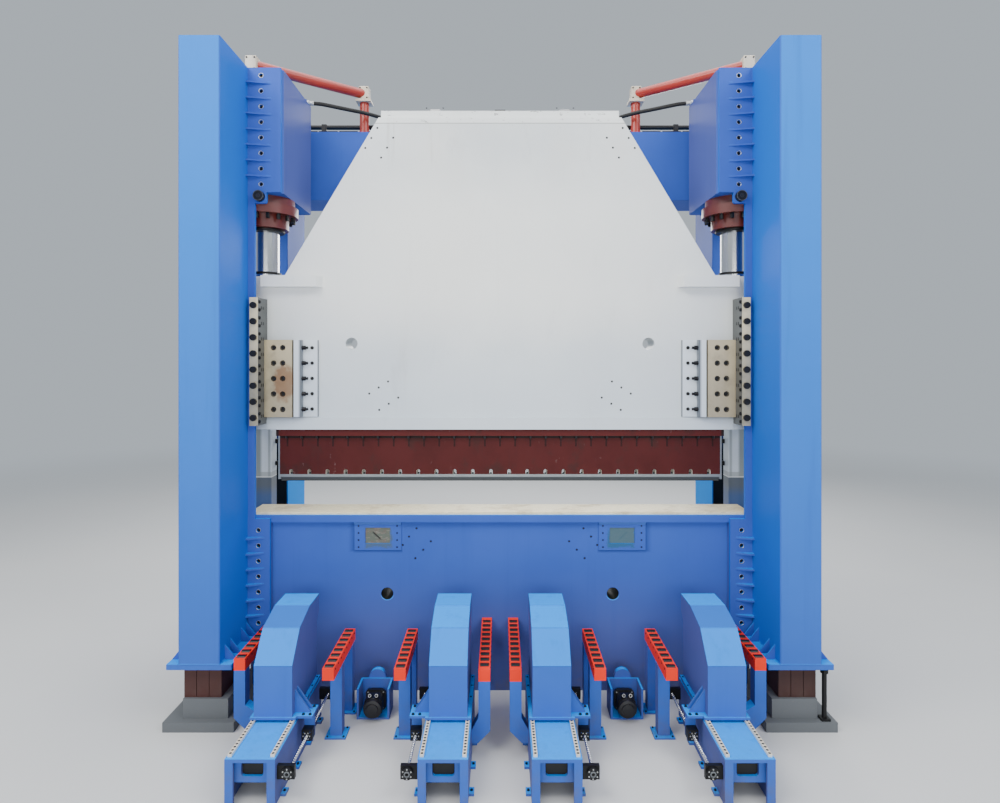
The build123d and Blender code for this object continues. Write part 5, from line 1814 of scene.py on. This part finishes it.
@dataclass(frozen=True)
class RamPaint:
    """Satin grey paint on rolled plate, with handling marks and faint smears, a painted reflection in a warmer tone, a
    painted highlight across the middle height, painted shade that turns the lower part bluer and a painted shadow under
    the guide shoes.
    """

    colour: Colour = rgb(222, 226, 226)
    shade: Colour = rgb(206, 212, 215)

    def tint(self, shader: Shader, colour: Value) -> Value:
        """Colour with the marks, painted light and painted shade that one piece alone carries, of which the plain paint
        has none.
        """
        return colour

    def material(self, name: str) -> bpy.types.Material:
        """Build the material."""
        shader = Shader(name)
        cloud = shader.noise(0.55, 4.0, 0.6)
        colour = shader.mix(cloud.between(0.35, 0.7), self.colour, self.shade)
        # Painted reflection: scattered patches in a warmer tone.
        warm_reflection = shader.noise(0.8, 3.0, 0.5, (1.0, 1.0, 0.5), 9.0).between(0.5, 0.75)
        colour = shader.mix(warm_reflection * 0.35, colour, rgb(214, 208, 200))
        smear = shader.noise(3.2, 5.0, 0.7, (1.0, 1.0, 0.35), 4.0).between(0.56, 0.78)
        colour = shader.mix(smear * 0.30, colour, rgb(168, 172, 176))
        spots = shader.noise(34.0, 3.0, 0.7, (1.0, 1.0, 1.0), 2.0).between(0.70, 0.78)
        colour = shader.mix(spots * 0.65, colour, rgb(96, 92, 88))
        runs = shader.noise(9.0, 3.0, 0.6, (1.0, 1.0, 0.06), 12.0).between(0.60, 0.80)
        top = shader.along("Z").between(5.2, 6.6)
        colour = shader.mix(runs * (0.12 + 0.25 * top), colour, rgb(150, 146, 138))
        height = shader.along("Z")
        # Painted shade: the lower part turns bluer.
        low_shade = height.between(4.6, 3.1)
        colour = shader.mix(low_shade * 0.55, colour, rgb(188, 202, 214))
        # Painted highlight: a brighter band across the middle height.
        middle = height.between(3.7, 4.6) * height.between(6.3, 5.3)
        colour = shader.mix(middle * 0.55, colour, rgb(246, 246, 240))
        # Painted shadow under the guide shoes and keepers.
        under = height.between(3.040, 3.092) * height.between(3.099, 3.095) * abs(shader.along("X")).between(2.10, 2.40)
        colour = shader.mix(under * 0.6, colour, (0.10, 0.12, 0.14))
        lip = height.between(6.494, 6.500)
        scuffs = shader.noise(11.0, 4.0, 0.7, (1.0, 1.0, 2.0), 6.0).between(0.60, 0.70) * lip
        colour = shader.mix(lip * 0.6, colour, rgb(238, 240, 238))
        colour = shader.mix(scuffs * 0.75, colour, rgb(84, 82, 78))
        colour = shader.mix(abs(height - 6.493).between(0.007, 0.002) * 0.7, colour, rgb(124, 122, 118))
        colour = self.tint(shader, colour)
        peel = shader.noise(80.0, 2.0, 0.5)
        plate = shader.bump(shader.noise(0.9, 2.0, 0.5, (1.0, 1.0, 1.0), 3.0), 0.006)
        normal = shader.make("ShaderNodeBump", {}, {
            "Height": peel, "Distance": 0.0003, "Strength": 0.5, "Normal": plate})
        return shader.finish(Base_Color=colour, Roughness=0.38 + 0.12 * cloud + 0.2 * smear,
                             Coat_Weight=0.12, Coat_Roughness=0.15, Normal=normal)


@dataclass(frozen=True)
class RearGuidePaint(RamPaint):
    """The rear guide posts' paint, with painted vertical shading on the fronts, a darker grey band, painted shade below
    the ram and a painted highlight along a ledge.

    Attributes:
        inner: distance of the posts' inner edge from the middle.
        foot: height at which the painted shade below the ram begins.
    """

    inner: float = 2.770
    foot: float = 2.327

    def tint(self, shader: Shader, colour: Value) -> Value:
        """Add the painted vertical shading, the darker band, the painted shade below the ram and the painted highlight
        along the ledge.
        """
        away, height = abs(shader.along("X")), shader.along("Z")
        # Painted shade: darker vertical strips on the front faces.
        outer = away.between(self.inner + 0.105, self.inner + 0.145)
        shade_strip = abs(away - (self.inner + 0.028)).between(0.022, 0.008)
        front = shader.facing("Y").between(-0.5, -0.9)
        runs = outer.larger(shade_strip * 0.7) * front
        colour = shader.mix(runs * 0.8, colour, (0.155, 0.185, 0.170))
        band = height.between(self.foot + 0.070, self.foot + 0.062)
        colour = shader.mix(band * 0.6, colour, (0.27, 0.29, 0.27))
        # Painted shade below the ram, turning blue lower down.
        low = height.between(self.foot + 0.001, self.foot - 0.003)
        blue = height.between(2.25, 2.08)
        painted_shadow = shader.mix(blue, (0.085, 0.105, 0.125), (0.045, 0.10, 0.24))
        colour = shader.mix(low * 0.92, colour, painted_shadow)
        # Painted highlight: a bright line along the ledge.
        line = abs(height - self.foot - 0.006).between(0.007, 0.003)
        return shader.mix(line * 0.8, colour, (0.80, 0.82, 0.80))


@dataclass(frozen=True)
class KeeperPaint(RamPaint):
    """The ram's paint on the keepers, with painted shade where they round over to the adjusting nuts."""

    colour: Colour = rgb(228, 234, 240)
    shade: Colour = rgb(214, 222, 230)
    edges: tuple[float, float] = (2.276, 2.322)

    def tint(self, shader: Shader, colour: Value) -> Value:
        """Add the painted shade on the rounded edge and a painted shade line along the plates' inner edge."""
        away = abs(shader.along("X"))
        inner, outer = self.edges
        # Painted shade on the rounded edge and a painted shade line along the plates' inner edge.
        run = away.between(outer, inner + 0.008) * away.between(inner - 0.004, inner)
        edge = away.between(2.110, 2.106)
        return shader.mix((run * 0.9).larger(edge * 0.8), colour, (0.045, 0.058, 0.072))


@dataclass(frozen=True)
class BeamPaint:
    """Red oxide primer with bolt smears and chalky runs, a painted highlight that lightens the top ledge and a painted
    shadow in a strip just under it.
    """

    colour: Colour = (0.068, 0.0060, 0.0052)
    # Lighter tone that paints light on the top ledge.
    shade: Colour = (0.085, 0.0085, 0.0075)

    def material(self, name: str) -> bpy.types.Material:
        """Build the material."""
        shader = Shader(name)
        cloud = shader.noise(2.4, 4.0, 0.6)
        colour = shader.mix(cloud.between(0.35, 0.72), self.colour, tuple(0.8 * part for part in self.colour))
        height = shader.along("Z")
        # Painted light: the top ledge is lightened although it lies in shadow.
        colour = shader.mix(height.between(2.86, 2.875) * 0.8, colour, self.shade)
        # Painted shadow: a dark strip just under the ledge.
        shade_strip = height.between(2.838, 2.846) * height.between(2.872, 2.866)
        colour = shader.mix(shade_strip * 0.85, colour, (0.003, 0.005, 0.004))
        notch = abs(shader.facing("Y")).between(0.7, 0.4) * height.between(2.50, 2.49)
        colour = shader.mix(notch, colour, (0.85, 0.82, 0.72))
        ends = abs(shader.along("X")).between(2.560, 2.566)
        colour = shader.mix(ends * 0.85, colour, (0.008, 0.007, 0.008))
        runs = shader.noise(13.0, 4.0, 0.65, (1.0, 1.0, 0.09), 3.0).between(0.56, 0.78)
        colour = shader.mix(runs * 0.35, colour, (0.035, 0.010, 0.010))
        smears = shader.noise(3.4, 4.0, 0.6, (1.0, 1.0, 0.8), 13.0).between(0.55, 0.72)
        colour = shader.mix(smears * 0.45, colour, (0.022, 0.012, 0.009))
        chalk = shader.noise(20.0, 4.0, 0.7, (1.0, 1.0, 0.4), 8.0).between(0.66, 0.8)
        low = height.between(2.70, 2.50)
        colour = shader.mix(chalk * (0.12 + 0.5 * low), colour, (0.40, 0.36, 0.33))
        grain = shader.noise(70.0, 3.0, 0.6)
        return shader.finish(Base_Color=colour, Roughness=0.55 + 0.15 * cloud, Specular_IOR_Level=0.25,
                             Normal=shader.bump(grain, 0.0005))


BLUES: tuple[Colour, Colour] = ((0.048, 0.112, 0.46), (0.040, 0.098, 0.42))
# Painted light: brighter, greener tone of the blue enamel's lit faces.
LIT_TONE: Colour = (0.0, 0.275, 0.88)
# Painted shade: darker, greyer tone of the blue enamel's faces that little light reaches.
DUSK: Colour = (0.074, 0.100, 0.32)

RECIPES: dict[Finish, object] = {
    Finish.BLUE: Enamel(*BLUES, 0.42, 0.0, lit_tone=LIT_TONE, dusk=DUSK, gloss=0.05),
    Finish.GREY: RamPaint(),
    Finish.OXIDE: BeamPaint(),
    Finish.CYLINDER: Enamel((0.12, 0.014, 0.009), (0.07, 0.011, 0.008), 0.35, 0.2),
    Finish.PIPE: Enamel((0.42, 0.028, 0.014), (0.30, 0.022, 0.012), 0.35, 0.2),
    Finish.BAR: Enamel((0.95, 0.036, 0.010), (0.78, 0.028, 0.008), 0.40, 0.0, stain=0.6, gloss=0.15),
    Finish.CREAM: Enamel(rgb(214, 204, 184), rgb(176, 162, 142), 0.45, 0.1, stain=0.7, streak=0.6),
    Finish.BLOCK: Enamel((0.06, 0.013, 0.009), (0.035, 0.010, 0.008), 0.6, 0.0, stain=0.8),
    Finish.MOTOR: DarkSteel((0.010, 0.010, 0.012), (0.06, 0.06, 0.065), 0.32, 0.1, 0.25),
    Finish.TABLE: BareSteel((1.0, 0.88, 0.58), (0.36, 0.24, 0.11), 0.40, (1.0, 24.0, 24.0), 0.7, 0.08,
                            contrast=0.62),
    Finish.STEEL: BareSteel((0.55, 0.56, 0.56), (0.22, 0.17, 0.11), 0.34, (1.0, 24.0, 24.0), 0.4),
    Finish.CHROME: Chrome(),
    Finish.BLACK: DarkSteel((0.010, 0.010, 0.011), (0.12, 0.115, 0.11), 0.38, 0.5),
    Finish.IRON: DarkSteel((0.115, 0.125, 0.135), (0.20, 0.18, 0.15), 0.62, 0.1, 0.6),
    Finish.HOSE: DarkSteel((0.004, 0.004, 0.004), (0.015, 0.015, 0.015), 0.6, 0.0, 0.2),
}

OWN_LOOK: dict[str, tuple[str, object]] = {
    "guide_shoe_left": ("shoe_steel_stained", GuideSteel((0.60, 0.50, 0.31), (0.25, 0.22, 0.165), stain=1.0)),
    "guide_shoe_right": ("shoe_steel", GuideSteel((0.58, 0.49, 0.32), (0.25, 0.22, 0.165))),
    "gib_left": ("strip_steel", GuideSteel((0.86, 0.74, 0.46), (0.125, 0.13, 0.125), rise=(3.5, 4.25))),
    "gib_right": ("strip_steel", GuideSteel((0.86, 0.74, 0.46), (0.125, 0.13, 0.125), rise=(3.5, 4.25))),
    "punch_bar": ("punch_steel", PunchSteel()),
    "shoe_keepers": ("keeper_paint", KeeperPaint()),
    "punch_end_plates": ("end_plate_steel", PunchSteel(step=2.30)),
    "linear_rails": ("rail_steel", GuideSteel((0.95, 0.88, 0.68), (0.88, 0.80, 0.62))),
    "rear_guides": ("rear_guide_paint", RearGuidePaint()),
    "bed": ("bed_paint", BedPaint(*BLUES, 0.42, 0.0, lit_tone=LIT_TONE, dusk=DUSK, gloss=0.05)),
    **{f"rear_column_{side}": ("back_paint", BackPaint(*BLUES, 0.42, 0.0, lit_tone=LIT_TONE, gloss=0.05))
       for side, _ in SIDES},
    **{f"front_column_{side}": ("column_paint", ColumnPaint(*BLUES, 0.42, 0.0, lit_tone=LIT_TONE, gloss=0.05))
       for side, _ in SIDES},
    **{f"carriage_{number}": ("housing_paint", HousingPaint(
        *BLUES, 0.42, 0.0, lit_tone=LIT_TONE, dusk=DUSK, gloss=0.05, stain=0.6)) for number in FOLLOWERS},
}


def dress_solids(materials: Materials) -> None:
    """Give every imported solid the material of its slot, or a look of its own."""
    slots = {finish.value: finish for finish in Finish}
    own: dict[str, bpy.types.Material] = {}
    for name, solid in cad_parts.items():
        for socket in solid.material_slots:
            if name in OWN_LOOK:
                title, recipe = OWN_LOOK[name]
                if title not in own:
                    own[title] = recipe.material(title)
                socket.material = own[title]
            else:
                socket.material = materials.get(slots[socket.material.name.split(".")[0]])
        LOG.info("solids: %s dressed", name)


ASSEMBLIES: tuple[type[Assembly], ...] = (
    GuideFittings, RamFittings, FrameFittings, BedFittings, FollowerFittings, ArmFittings, DriveUnits,
    HydraulicFittings, Welds)


def main() -> None:
    """Dress the solids, add the small pieces and set up the studio."""
    logging.basicConfig(level=logging.INFO, format="%(name)s %(message)s")
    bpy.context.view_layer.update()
    Studio().build()
    materials = Materials()
    repeater = Repeater()
    Hoses(materials, repeater).build()
    dress_solids(materials)
    for assembly in ASSEMBLIES:
        assembly(materials, repeater).build()


if __name__ == "__main__":
    main()
